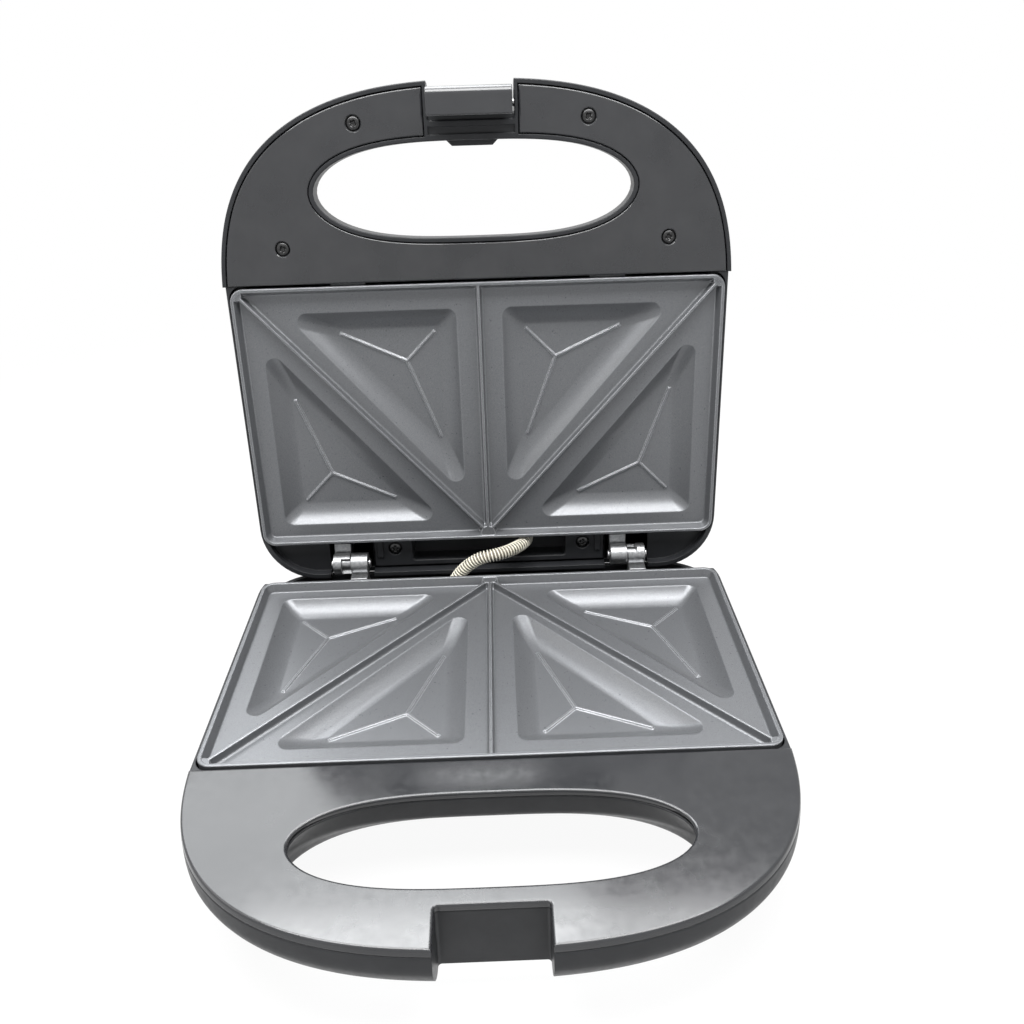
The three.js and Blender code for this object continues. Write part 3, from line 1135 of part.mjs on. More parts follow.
buildHalf(baseHalf, 'base', 'lower');
piece(baseHalf, 'base_housing', baseHousing(), 0x1c1e21, 0.45, 0);
piece(baseHalf, 'thermostat', thermostat(), 0xc9c6bd, 0.5, 0.3);
piece(baseHalf, 'thermal_fuse', fuse(), 0xd9d3c4, 0.6, 0);
piece(baseHalf, 'terminal_block', terminalBlock(), 0xe6e2d8, 0.6, 0);
footPlaces.forEach(([label, x, y]) => piece(baseHalf, `foot_${label}`, foot(x, y), 0x232323, 0.9, 0));
bothSides.forEach((side, i) => piece(baseHalf,
  ['hinge_left_pin', 'hinge_right_pin'][i], hingePin(side * HINGE_OFFSET), 0xc4c6c8, 0.3, 1));

buildHalf(lidHalf, 'lid', 'upper');
piece(lidHalf, 'lid_housing', lidHousing(), 0x1c1e21, 0.45, 0);
piece(lidHalf, 'latch_clip', latchClip(), 0x17191c, 0.2, 0);
piece(lidHalf, 'latch_pin', latchPin(), 0xc4c6c8, 0.3, 1);
piece(lidHalf, 'lamp_holder', lampHolder(), 0xd8d4ca, 0.6, 0);
piece(lidHalf, 'power_lamp', lamp(-1), 0xe8c9b8, 0.15, 0);
piece(lidHalf, 'ready_lamp', lamp(1), 0xe8c9b8, 0.15, 0);
piece(lidHalf, 'power_lens', lens(-1), 0xb3221c, 0.15, 0);
piece(lidHalf, 'ready_lens', lens(1), 0x2f9a3c, 0.15, 0);

// The lid turns about the hinge axis, and the conduit is drawn already open
const lidSwing = new THREE.Group();
lidSwing.position.z = AXIS_HEIGHT;
lidSwing.rotation.x = THREE.MathUtils.degToRad(-OPEN_DEGREES);
lidHalf.group.position.z = -AXIS_HEIGHT;
lidSwing.add(lidHalf.group);

const conduit = { outward: 1, group: new THREE.Group() };
piece(conduit, 'conduit_spring', conduitSpring(), 0xe4dfcb, 0.4, 0.3);
piece(conduit, 'conduit_wires', conduitWires(), 0xd9d2bd, 0.7, 0);

// Origin at the middle of the footprint, on the surface the feet stand on
const sandwichMaker = new THREE.Group();
sandwichMaker.add(baseHalf.group, lidSwing, conduit.group);
const extent = new THREE.Box3().setFromObject(sandwichMaker, true);
const middle = extent.getCenter(new THREE.Vector3());
sandwichMaker.position.set(-middle.x, -middle.y, -extent.min.z);

export default sandwichMaker;
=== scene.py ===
import json
import math

import bpy
import numpy as np
from mathutils import Matrix, Vector


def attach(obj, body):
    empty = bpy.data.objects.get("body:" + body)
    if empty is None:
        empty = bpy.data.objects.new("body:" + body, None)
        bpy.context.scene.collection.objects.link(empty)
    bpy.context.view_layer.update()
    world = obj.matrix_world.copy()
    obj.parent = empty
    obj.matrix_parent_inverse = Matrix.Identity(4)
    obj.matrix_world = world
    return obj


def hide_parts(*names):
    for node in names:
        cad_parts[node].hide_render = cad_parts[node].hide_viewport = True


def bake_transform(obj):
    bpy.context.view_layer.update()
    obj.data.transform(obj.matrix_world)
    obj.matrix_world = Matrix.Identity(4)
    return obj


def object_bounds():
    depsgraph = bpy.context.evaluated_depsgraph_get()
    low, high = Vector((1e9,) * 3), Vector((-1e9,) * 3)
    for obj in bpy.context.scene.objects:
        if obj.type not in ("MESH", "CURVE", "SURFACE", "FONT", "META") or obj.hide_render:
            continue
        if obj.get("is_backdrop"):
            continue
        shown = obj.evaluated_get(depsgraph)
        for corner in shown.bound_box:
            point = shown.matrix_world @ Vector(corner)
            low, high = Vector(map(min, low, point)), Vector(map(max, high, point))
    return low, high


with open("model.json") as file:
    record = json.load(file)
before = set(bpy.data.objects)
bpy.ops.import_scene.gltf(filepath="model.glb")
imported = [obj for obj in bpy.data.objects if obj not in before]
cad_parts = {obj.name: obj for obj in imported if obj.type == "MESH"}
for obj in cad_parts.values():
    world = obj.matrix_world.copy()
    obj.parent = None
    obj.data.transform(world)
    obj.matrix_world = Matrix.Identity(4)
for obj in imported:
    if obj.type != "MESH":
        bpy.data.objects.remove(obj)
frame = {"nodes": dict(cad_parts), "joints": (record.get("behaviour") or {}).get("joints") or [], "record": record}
cad_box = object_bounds()

# Places in the frame, all in metres
NODES = frame["nodes"]
HINGE = Vector(next(j for j in frame["joints"] if j["name"] == "lid_hinge")["pos_m"])
OPEN_DEGREES = 97
TO_OPEN = Matrix.Rotation(-math.radians(OPEN_DEGREES), 3, "X")
LID_NORMAL = TO_OPEN @ Vector((0, 0, 1))
AXIS_HEIGHT = 0.0021

# The photograph's camera
FOCAL_PIXELS = 910.17
FRAME_PIXELS = 1024
SENSOR_MM = 36
CAMERA_FROM_HINGE = Vector((0.0079, -0.40075, 0.24786))
CAMERA_FORWARD = Vector((0.00981, 0.87563, -0.48289))
CAMERA_RIGHT = Vector((0.99933, -0.02556, -0.02604))


def link(thing):
    bpy.context.scene.collection.objects.link(thing)
    return thing


def photo_camera():
    data = bpy.data.cameras.new("photo_camera")
    data.sensor_fit = "HORIZONTAL"
    data.sensor_width = SENSOR_MM
    data.lens = SENSOR_MM * FOCAL_PIXELS / FRAME_PIXELS
    data.clip_start = 0.01
    camera = bpy.data.objects.new("photo_camera", data)
    up = CAMERA_RIGHT.cross(CAMERA_FORWARD)
    turn = Matrix((CAMERA_RIGHT, up, -CAMERA_FORWARD)).transposed().to_4x4()
    camera.matrix_world = Matrix.Translation(HINGE + CAMERA_FROM_HINGE) @ turn
    bpy.context.scene.camera = link(camera)


photo_camera()

# Conduit route, from the bay behind the lower plate to the bay in the lid
CONDUIT_RADIUS = 0.003
CONDUIT_WIRE = 0.00065
CONDUIT_PITCH = 0.0015
CONDUIT_STRAIGHT = 0.0066
CONDUIT_TAIL = 0.0003
BAY_DEPTH = 0.011
BASE_DECK = 0.013
LID_DECK = 0.006
BASE_END = (-0.0209, -0.0076)
LID_END = (0.0198, -0.0078)
CREST = Vector((0, -0.0096, 0.0094 - AXIS_HEIGHT))
QUARTER = 0.53
CREST_SLANT = 0.2
CREST_RISE = 0.001
CURL_STEPS = 16
CURL_SIDES = 8
SLEEVE_RADIUS = 0.0023
SLEEVE_SIDES = 20
SLEEVE_STEP = 0.0008
SLEEVE_TAIL = -0.005
ROUTE_STEP = 0.0001
CURVE_POINTS = 200
STRAIGHT_POINTS = 60
ODD_DIRECTION = (0.31, 0.57, 0.76)


def base_point(height):
    level = height - BASE_DECK - BAY_DEPTH - AXIS_HEIGHT
    return HINGE + Vector((*BASE_END, level))


def lid_point(height):
    level = LID_DECK + BAY_DEPTH - height - AXIS_HEIGHT
    return HINGE + TO_OPEN @ Vector((*LID_END, level))


def bezier(a, b, c, d, count=CURVE_POINTS):
    t = np.linspace(0, 1, count)[:, None]
    a, b, c, d = (np.array(p) for p in (a, b, c, d))
    return (1 - t) ** 3 * a + 3 * (1 - t) ** 2 * t * b + 3 * (1 - t) * t**2 * c + t**3 * d


def conduit_route(tail):
    crest = HINGE + CREST
    start, end = base_point(CONDUIT_STRAIGHT), lid_point(CONDUIT_STRAIGHT)
    rise = QUARTER * (crest.z - start.z)
    run = QUARTER * (end.y - crest.y)
    slant = Vector((CREST_SLANT * (end.x - start.x), 0, CREST_RISE))
    beside_start, beside_end = crest - slant, crest + slant
    stretches = [
        bezier(base_point(tail), base_point(tail), start, start, STRAIGHT_POINTS),
        bezier(start, base_point(CONDUIT_STRAIGHT + rise), beside_start, crest),
        bezier(crest, beside_end, lid_point(CONDUIT_STRAIGHT + run), end),
        bezier(end, end, lid_point(tail), lid_point(tail), STRAIGHT_POINTS),
    ]
    return even_steps(np.vstack(stretches), ROUTE_STEP)


def lengths(points):
    """The length of the curve up to each of its points."""
    return np.concatenate([[0], np.cumsum(np.linalg.norm(np.diff(points, axis=0), axis=1))])


def resampled(table, along, places):
    return np.stack([np.interp(places, along, table[:, axis]) for axis in range(3)], axis=1)


def even_steps(points, step):
    along = lengths(points)
    places = np.linspace(0, along[-1], max(2, round(along[-1] / step)) + 1)
    return resampled(points, along, places)


def carried_frames(points):
    """Two directions across the curve at each point, carried along it without twist."""
    along = np.gradient(points, axis=0)
    along /= np.linalg.norm(along, axis=1)[:, None]
    side = np.cross(along[0], ODD_DIRECTION)
    sides = []
    for direction in along:
        side = side - direction * (side @ direction)
        side = side / np.linalg.norm(side)
        sides.append(side)
    sides = np.array(sides)
    return sides, np.cross(along, sides)


# Mesh making


def mesh_object(name, vertices, faces):
    mesh = bpy.data.meshes.new(name)
    mesh.from_pydata([tuple(v) for v in vertices], [], faces)
    return link(bpy.data.objects.new(name, mesh))


def mesh_piece(name, vertices, faces, material):
    piece = mesh_object(name, vertices, faces)
    piece.data.polygons.foreach_set("use_smooth", [True] * len(piece.data.polygons))
    piece.data.materials.append(material)
    return piece


def ring_faces(rings, sides):
    faces = []
    for ring in range(rings - 1):
        for i in range(sides):
            a, b = ring * sides + i, ring * sides + (i + 1) % sides
            faces.append((a, b, b + sides, a + sides))
    return faces


def closed_faces(rings, sides):
    """Faces of a skin through rings of points, with a cap on both ends."""
    last = (rings - 1) * sides
    return ring_faces(rings, sides) + [tuple(range(sides))[::-1], tuple(range(last, last + sides))]


def tube(name, points, radius, sides, material):
    first, second = carried_frames(points)
    angles = 2 * np.pi * np.arange(sides) / sides
    ring = np.cos(angles)[None, :, None] * first[:, None] + np.sin(angles)[None, :, None] * second[:, None]
    vertices = (points[:, None] + radius * ring).reshape(-1, 3)
    return mesh_piece(name, vertices, closed_faces(len(points), sides), material)


# Materials. Every texture is measured in metres on the object.


def fill(tree, sockets, values):
    """Links each named socket to another, or sets it to a number or colour."""
    for label, value in values.items():
        socket = sockets[label.replace("_", " ")]
        if isinstance(value, bpy.types.NodeSocket):
            tree.links.new(value, socket)
        else:
            socket.default_value = value


def node(tree, kind, **inputs):
    made = tree.nodes.new(f"ShaderNode{kind}")
    fill(tree, made.inputs, inputs)
    return made


def maths(tree, kind, operation, *sources):
    made = node(tree, kind)
    made.operation = operation
    for source, socket in zip(sources, made.inputs):
        tree.links.new(source, socket)
    return made.outputs["Value"]


def pattern(tree, scale, detail=None, roughness=0.55, stretch=None):
    """Noise over the object's own coordinates, or grains where no detail is given."""
    place = node(tree, "TexCoord").outputs["Object"]
    if detail is None:
        return node(tree, "TexVoronoi", Vector=place, Scale=scale).outputs["Distance"]
    if stretch:
        place = node(tree, "Mapping", Vector=place, Scale=stretch).outputs["Vector"]
    noise = node(tree, "TexNoise", Vector=place, Scale=scale, Detail=detail, Roughness=roughness)
    return noise.outputs["Fac"]


def spread(tree, source, low, high, start=0.3, end=0.7):
    return node(tree, "MapRange", Value=source, From_Min=start, From_Max=end,
                To_Min=low, To_Max=high).outputs["Result"]


def finish(name, tint, colours, grain, rough, bevel=0, relief=None, places=(0.3, 0.7), painted_highlight=None,
           **inputs):
    """A material whose colour and roughness vary over the patterns tint and grain.

    Relief is the height and strength of its bump, and then the bump's pattern. The last argument is the
    colour of a highlight painted onto crests and feet, and where it starts and is full.
    """
    material = bpy.data.materials.new(name)
    material.use_nodes = True
    tree = material.node_tree
    ramp = node(tree, "ValToRGB", Fac=pattern(tree, *tint))
    for stop, place, colour in zip(ramp.color_ramp.elements, places, colours):
        stop.position, stop.color = place, (*colour, 1)
    inputs["Base_Color"] = ramp.outputs["Color"]
    inputs["Roughness"] = spread(tree, pattern(tree, *grain), *rough)
    if bevel:
        edges = node(tree, "Bevel", Radius=bevel)
        edges.samples = 4
        inputs["Normal"] = edges.outputs["Normal"]
    # Painted highlight: a lighter colour on crests and feet, wherever the bevel normal turns away from the true
    # normal.
    if painted_highlight:
        light, start, end = painted_highlight
        flat = node(tree, "NewGeometry").outputs["Normal"]
        across = maths(tree, "VectorMath", "DOT_PRODUCT", inputs["Normal"], flat)
        inputs["Base_Color"] = node(
            tree, "MixRGB", Fac=spread(tree, across, 0, 1, start, end),
            Color1=inputs["Base_Color"], Color2=(*light, 1)).outputs["Color"]
    if relief:
        height, strength, *bumps = relief
        bump = node(tree, "Bump", Strength=strength, Distance=height, Height=pattern(tree, *bumps))
        if bevel:
            fill(tree, bump.inputs, {"Normal": inputs["Normal"]})
        inputs["Normal"] = bump.outputs["Normal"]
    fill(tree, tree.nodes["Principled BSDF"].inputs, inputs)
    return material


def tones(tone, *shares):
    return [tuple(tone * share for share in colour) for colour in shares]


def gloss_black(name, rough, tone):
    return finish(name, (55, 4), tones(tone, (0.8, 0.84, 0.95), (1.2, 1.24, 1.35)), (240, 3), rough, 0.0005,
                  (0.000004, 0.35, 2600, 2), IOR=1.52, Specular_IOR_Level=0.6)


def satin_black(name, tone):
    return finish(name, (120, 4), tones(tone, (0.85, 0.9, 1), (1.15, 1.2, 1.32)), (420, 3), (0.34, 0.44),
                  0.0006, (0.00001, 0.4, 2400), IOR=1.5, Specular_IOR_Level=0.3)


def drawn_steel(name, low, high, along):
    lines = (700, 3, 0.6, along)
    colours = (low, low, low * 1.01), (high, high, high * 1.01)
    return finish(name, lines, colours, lines, (0.22, 0.36), 0.0002, Metallic=1.0)


def moulded(name, low, high, rough, grain=1600):
    return finish(name, (260, 4), (low, high), (700, 3), rough, 0.0003, (0.000015, 0.4, grain, 3))


def tinted_lens(name, low, high):
    return finish(name, (500, 3), (low, high), (900, 2), (0.06, 0.14), 0, (0.00004, 0.35, 1400),
                  IOR=1.49, Transmission_Weight=0.55, Coat_Weight=0.4, Coat_Roughness=0.05)


COVER = gloss_black("gloss_black", (0.1, 0.17), 0.018)
CLIP = gloss_black("clip_black", (0.12, 0.2), 0.02)
HOUSING = satin_black("satin_black", 0.016)
REAR = satin_black("rear_cover_black", 0.018)
# The plate's coating carries a painted highlight: a lighter colour along its crests and feet.
PLATE = finish(
    "plate_coating", (3400, 4, 0.75), ((0.088, 0.091, 0.096), (0.172, 0.177, 0.185)), (900, 4), (0.27, 0.38),
    0.0007, (0.00003, 0.55, 1900, 5, 0.7), (0.34, 0.68), ((0.5, 0.51, 0.53), 0.985, 0.86),
    Metallic=0.45, Specular_IOR_Level=0.4)
HINGE_METAL = finish(
    "hinge_metal", (700, 4), ((0.22, 0.224, 0.23), (0.38, 0.385, 0.39)), (1500, 3), (0.32, 0.46),
    0.0004, (0.000015, 0.5, 2600, 4), Metallic=1.0)
PIN_STEEL = drawn_steel("drawn_steel", 0.42, 0.62, (1, 14, 14))
SCREW_STEEL = drawn_steel("screw_steel", 0.03, 0.08, (6, 6, 6))
SHEET = finish(
    "reflector_sheet", (260, 5), ((0.5, 0.51, 0.52), (0.72, 0.73, 0.74)), (900, 3, 0.6, (1, 9, 9)),
    (0.2, 0.38), 0.0003, Metallic=1.0)
HEATER = finish(
    "heater_sheath", (160, 5), ((0.2, 0.18, 0.16), (0.42, 0.4, 0.38)), (800, 4), (0.35, 0.6),
    0, (0.00001, 0.4, 2400, 3), Metallic=0.9)
ENAMEL = finish(
    "conduit_enamel", (900, 4), ((0.7, 0.66, 0.55), (0.86, 0.83, 0.72)), (1300, 3), (0.25, 0.42),
    IOR=1.5, Coat_Weight=0.25, Coat_Roughness=0.2)
SLEEVE = finish(
    "wire_sleeve", (2600,), ((0.09, 0.08, 0.06), (0.26, 0.23, 0.18)), (1800, 2), (0.7, 0.85),
    0, (0.00012, 0.9, 2600), (0.1, 0.75), Sheen_Weight=0.3)
RUBBER = moulded("foot_rubber", (0.012, 0.012, 0.012), (0.022, 0.022, 0.023), (0.75, 0.9), 1100)
CERAMIC = moulded("ceramic", (0.72, 0.69, 0.62), (0.84, 0.82, 0.76), (0.45, 0.6))
NYLON = moulded("natural_nylon", (0.66, 0.64, 0.58), (0.8, 0.78, 0.72), (0.4, 0.55))
RED_LENS = tinted_lens("red_lens", (0.5, 0.02, 0.015), (0.75, 0.05, 0.03))
GREEN_LENS = tinted_lens("green_lens", (0.02, 0.32, 0.06), (0.05, 0.5, 0.12))
LAMP_GLASS = finish(
    "lamp_glass", (700, 3), ((0.9, 0.72, 0.6), (0.95, 0.86, 0.78)), (1100, 2), (0.03, 0.1),
    IOR=1.5, Transmission_Weight=0.85)

FINISHES = {
    "gloss_black": COVER, "housing_black": HOUSING, "plate_coating": PLATE, "heater_steel": HEATER,
    "reflector_sheet": SHEET, "hinge_metal": HINGE_METAL, "pin_steel": PIN_STEEL,
    "screw_steel": SCREW_STEEL,
    "ceramic_white": CERAMIC, "terminal_plastic": NYLON, "foot_rubber": RUBBER, "lamp_glass": LAMP_GLASS,
    "red_lens": RED_LENS, "green_lens": GREEN_LENS, "conduit_enamel": ENAMEL, "wire_sleeve": SLEEVE,
}
SLOTS = {row["node"]: row["material_slot"] for row in frame["record"]["subparts"]}


WELD_REACH = 0.00002
CAD_SHARP_DEGREES = 32
SCREW_SHARP_DEGREES = 50


def split_edges(piece, degrees):
    split = piece.modifiers.new("sharp_edges", "EDGE_SPLIT")
    split.split_angle = math.radians(degrees)


def dress_frame():
    """Gives every CAD node its finish, joined vertices and shading that is smooth on curves only."""
    for name, solid in NODES.items():
        solid.data.materials.clear()
        solid.data.materials.append(CLIP if name == "latch_clip" else FINISHES[SLOTS[name]])
        solid.data.polygons.foreach_set("use_smooth", [True] * len(solid.data.polygons))
        weld = solid.modifiers.new("joined", "WELD")
        weld.merge_threshold = WELD_REACH
        split_edges(solid, CAD_SHARP_DEGREES)


dress_frame()

# Finer drawing of the frame's main pieces. Each half is drawn shut, in millimetres, with depth
# measured outwards from the parting plane, and then put in its place in the frame.

MM = 0.001
GAP = 0.3
OVERRUN = 6
WALL = 2.5
AXIS_LEVEL = 2.1
PLATE_HALF_WIDTH = 114
PLATE_REAR = -12
PLATE_FRONT = -140
PLATE_CORNER = 6
PLATE_THICKNESS = 2.6
BODY_HALF_WIDTH = 115.4
BODY_REAR = 7.8
BODY_REAR_RADIUS = 28
BODY_FRONT_RADIUS = 12
BODY_LEAST_RADIUS = 6
BODY_LIP = 1.2
REAR_WALL_TOP = 8
HANDLE_BACK = 141.2
HANDLE_HALF_WIDTH = 117
HANDLE_LENGTH = 83.3
HANDLE_WIDEST = 21.2
HANDLE_FULLNESS = (2.55, 2.9)
HANDLE_DEPTH = 26.5
HANDLE_ROUND = 15
FACE_GAP = 0.4
BASE_LEAN = 2.6
SIDE_LEAN_SHARE = 0.45
LEAN_DEPTH = 9.5
LOOP_SHIFT = 1.4
LOOP_ASIDE = 6
WEB_SHIFT = 2.6
OVAL_CENTRE = 180.1
OVAL_HALF_WIDTH = 71
OVAL_HALF_DEPTH = 20.3
OVAL_FULLNESS = (3.2, 1.9)
OVAL_SIDE = 11
OVAL_FLARES = (9, 7, 15.5)
NOTCH_HALF_WIDTH = 18.8
NOTCH_RIM = 1.5
NOTCH_CORNER = 1.2
WEB_FRONT = 208.5
LEDGE_DROP = 1
LEDGE_OVERHANG = 2.8
COVER_THICKNESS = 2.4
COVER_SEAT = FACE_GAP + COVER_THICKNESS + GAP
LID_COVER_INSET = 2.2
COVER_SCREWS = [(side * x, -y) for x, y in ((50.8, 208.4), (87.2, 157.2)) for side in (-1, 1)]
PAD_HEIGHT = 1.5
EDGE = 1.0
SMALL_EDGE = 0.5
SHARP_DEGREES = 30
FLOOR_DEPTH = 4.5
UNDERSIDE = FLOOR_DEPTH + PLATE_THICKNESS
AHEAD = -HANDLE_BACK - HANDLE_LENGTH - OVERRUN
SIDES = (-1, 1)

# Screws and what holds them
SHANK_HOLE = 1.8
HEAD_HOLE = 3.3
HEAD_CHAMFER = 0.4
HEAD_DEPTH = 1.8
SCREW_LENGTH = 12
COVER_BOSS = 8.6
COVER_BOSS_RADIUS = 3.6
COVER_PAD_RADIUS = 5.2
COVER_POST_RADIUS = 4.4
COVER_SCREW_SEAT = 19.4
REAR_SCREWS = [(side * 48.6, -5.6) for side in SIDES]
REAR_POST_RADIUS = 3.6
TAB_X = 60
TAB_HALF_WIDTH = 8
TAB_THICKNESS = 2.5
DECK_INNER = 59.8
DECK_THICKNESS = 2

# Hinge leaves
HINGE_X = 71.1
LEAF_SCREW_Y = -15.4
LEAF_SHIFT = 4.5
LEAF_FOOT = 11.3
LEAF_THICKNESS = 3
LEAF_POST_RADIUS = 4.3

# Latch pin and clip, lamps, feet, cord's inlet, vents
LATCH_AXIS = (-215, 9)
PIN_HOLE = 1.8
PIN_RADIUS = 1.5
CLIP_HALF_WIDTH = 17.4
LENS_Y = -84
LENS_X = 11
LENS_HOLE = 4.7
LAMP_POST_X = 22
LAMP_POST = (3.2, 16)
FOOT_PLACES = [(x, y) for y in (-110, -16) for x in (-91, 91)]
FOOT_HOLE = 2.8
CORD_INLET = (-60, 25.5)
INLET_RADIUS = 4.2
COLLAR_RADIUS = 7
COLLAR_LENGTH = 4
VENT_PLACES = [(x, y) for x in (-38, 0, 38) for y in (-77, -67)]
VENT_HALF = (13, 1.5)
LEAF_BAY_HALF_WIDTH = 11.2
LEAF_BAY_DEPTH = 8.2

# How finely curves are drawn
POST_SIDES = 40
ROUND_SIDES = 48
CURVE_SAMPLES = 6000
HANDLE_STEPS = 150
OVAL_STEPS = 128


class Half:
    def __init__(self, body, depth, roundness, shares, deck, cover_inset, towards, to_frame):
        self.body, self.depth, self.roundness, self.shares = body, depth, roundness, shares
        self.deck, self.cover_inset, self.to_frame = deck, cover_inset, to_frame
        self.towards, self.axis = towards, towards * AXIS_LEVEL


AT_HINGE = Matrix.Translation(HINGE)
BASE = Half(
    "base", 38, 13, [(0, 0), (0.74, 0.12), (0.87, 0.31), (0.96, 0.65), (1, 1)], 13, 0, -1,
    AT_HINGE @ Matrix.Diagonal((MM, MM, -MM, 1)) @ Matrix.Translation((0, 0, AXIS_LEVEL)))
LID = Half(
    "lid", 42, 34, [(0, 0), (0.66, 0.04), (0.82, 0.11), (0.93, 0.26), (0.98, 0.5), (1, 1)], 6,
    LID_COVER_INSET, 1,
    AT_HINGE @ TO_OPEN.to_4x4() @ Matrix.Scale(MM, 4) @ Matrix.Translation((0, 0, -AXIS_LEVEL)))

# Outlines, anticlockwise seen from outside the lid


def unit(vectors):
    return vectors / np.linalg.norm(vectors, axis=-1, keepdims=True)


def circle(x, y, radius, steps=ROUND_SIDES):
    angles = 2 * np.pi * np.arange(steps) / steps
    return np.stack([x + radius * np.cos(angles), y + radius * np.sin(angles)], axis=1)


def inset_corners(corners, inset):
    corners = np.asarray(corners, float)
    into = unit(corners - np.roll(corners, 1, axis=0))
    out = unit(np.roll(corners, -1, axis=0) - corners)
    inwards = np.stack([-into[:, 1] - out[:, 1], into[:, 0] + out[:, 0]], axis=1)
    return corners + inwards * (inset / (1 + (into * out).sum(axis=1)))[:, None]


def rounded(corners, radii, steps=9):
    corners = np.asarray(corners, float)
    points = []
    for i, (corner, radius) in enumerate(zip(corners, radii)):
        before, after = unit(corners[i - 1] - corner), unit(corners[(i + 1) % len(corners)] - corner)
        half = math.acos(before @ after) / 2
        centre = corner + unit(before + after) * radius / math.sin(half)
        arm = corner + before * radius / math.tan(half) - centre
        for angle in np.linspace(0, math.pi - 2 * half, steps + 1):
            c, s = math.cos(angle), math.sin(angle)
            points.append(centre + (c * arm[0] - s * arm[1], s * arm[0] + c * arm[1]))
    return np.array(points)


def block_corners(x0, x1, y0, y1, inset=0):
    x0, x1, y0, y1 = x0 + inset, x1 - inset, y0 + inset, y1 - inset
    return [(x0, y0), (x1, y0), (x1, y1), (x0, y1)]


def rectangle(half_width, front, rear):
    return block_corners(-half_width, half_width, front, rear)


def full_points(angles, fullness):
    """Points of a superellipse of unit size, fuller than a circle by its two powers."""
    turns = np.cos(angles), np.sin(angles)
    return np.stack([np.sign(t) * np.abs(t) ** (2 / power) for t, power in zip(turns, fullness)], axis=1)


def even_angles(start, end, fullness, size, steps):
    """Angles whose superellipse points lie at equal distances along the curve."""
    angles = np.linspace(start, end, CURVE_SAMPLES)
    points = full_points(angles, fullness) * size
    along = lengths(points)
    return np.interp(np.linspace(0, along[-1], steps + 1), along, angles)


SEAM_SHARE = HANDLE_WIDEST / (HANDLE_WIDEST + HANDLE_LENGTH)
SEAM_ANGLE = math.asin(SEAM_SHARE ** (HANDLE_FULLNESS[1] / 2))
HANDLE_SIZE = (HANDLE_HALF_WIDTH, HANDLE_WIDEST + HANDLE_LENGTH)
HANDLE_POINTS = full_points(
    even_angles(SEAM_ANGLE, math.pi - SEAM_ANGLE, HANDLE_FULLNESS, HANDLE_SIZE, HANDLE_STEPS),
    HANDLE_FULLNESS)
OVAL_POINTS = full_points(
    even_angles(0, 2 * math.pi, OVAL_FULLNESS, (OVAL_HALF_WIDTH, OVAL_HALF_DEPTH), OVAL_STEPS)[:-1],
    OVAL_FULLNESS)


def handle_outline(inset, back=0, short=0):
    forward = (HANDLE_LENGTH - inset - back - short) * (HANDLE_POINTS[:, 1] - SEAM_SHARE) / (1 - SEAM_SHARE)
    half_width = HANDLE_HALF_WIDTH - inset - SIDE_LEAN_SHARE * short
    return np.stack([-HANDLE_POINTS[:, 0] * half_width, -HANDLE_BACK - back - forward], axis=1)


def oval_outline(spread, offset, aside=0, shift=0):
    beside, front, back = (flare * spread + offset for flare in OVAL_FLARES)
    front, back = front + OVAL_HALF_DEPTH, back + OVAL_HALF_DEPTH
    return np.stack([
        OVAL_POINTS[:, 0] * (OVAL_HALF_WIDTH + max(beside, aside + offset)),
        -OVAL_CENTRE + shift + (back - front) / 2 + OVAL_POINTS[:, 1] * (front + back) / 2], axis=1)


def body_outline(inset, front):
    rear = max(BODY_REAR_RADIUS - inset, BODY_LEAST_RADIUS)
    ahead = max(BODY_FRONT_RADIUS - inset, BODY_LEAST_RADIUS)
    corners = rectangle(BODY_HALF_WIDTH - inset, front, BODY_REAR - inset)
    return rounded(corners, [ahead, ahead, rear, rear], 14)


def plate_outline(inset):
    corners = inset_corners(rectangle(PLATE_HALF_WIDTH, PLATE_FRONT, PLATE_REAR), inset)
    return rounded(corners, [PLATE_CORNER - inset] * 4)


def fine(shares, count=4):
    """A smooth curve through the given shares, straight down at its start and level at its end."""
    points = np.array(shares, float)
    first, second, before_last, last = points[0], points[1], points[-2], points[-1]
    padded = np.vstack([
        (2 * first[0] - second[0], second[1]), points, (before_last[0], 2 * last[1] - before_last[1])])
    curve = []
    for a, b, c, d in zip(padded, padded[1:], padded[2:], padded[3:]):
        for t in np.arange(count) / count:
            curve.append(
                b + 0.5 * t * (c - a + t * (2 * a - 5 * b + 4 * c - d + t * (3 * b - a - 3 * c + d))))
    return np.array(curve + [last])


def quarter(radius, steps=5):
    """How far an edge of this radius has drawn in, and how deep it lies, from its face to its side."""
    angles = np.linspace(0, math.pi / 2, steps)
    return [(radius * (1 - math.sin(angle)), radius * (1 - math.cos(angle))) for angle in angles]


def edge_rings(outline, start, edge, steps=5):
    """Rings of a rounded edge, from its face at this depth to its side; outline takes an inset."""
    return [(outline(drawn), start + deep) for drawn, deep in quarter(edge, steps)]


def soft_rings(outline, start, end, edge, steps=4):
    """Rings of a block that is rounded at both ends."""
    far = [(outline(drawn), end - deep) for drawn, deep in quarter(edge, steps)]
    return edge_rings(outline, start, edge, steps) + far[::-1]


def mouth_rings(outline, start, edge):
    """First rings of an opening, from above the face in which its edge is rounded."""
    return [(outline(edge), -OVERRUN)] + (edge_rings(outline, start, edge) if edge else [])


# Solids, and what joins and cuts them


def loft(rings):
    """A closed skin through rings of equal count, from the least depth to the greatest."""
    vertices = [(x, y, depth) for outline, depth in rings for x, y in outline]
    return mesh_object("drawing", vertices, closed_faces(len(rings), len(rings[0][0])))


def prism(outline, start, end):
    return loft([(outline, start), (outline, end)])


def post(x, y, radius, start, end):
    return prism(circle(x, y, radius, POST_SIDES), start, end)


def turned(x, y, stages):
    return loft([(circle(x, y, radius), depth) for radius, depth in stages])


def box(x0, x1, y0, y1, start, end):
    return prism(block_corners(x0, x1, y0, y1), start, end)


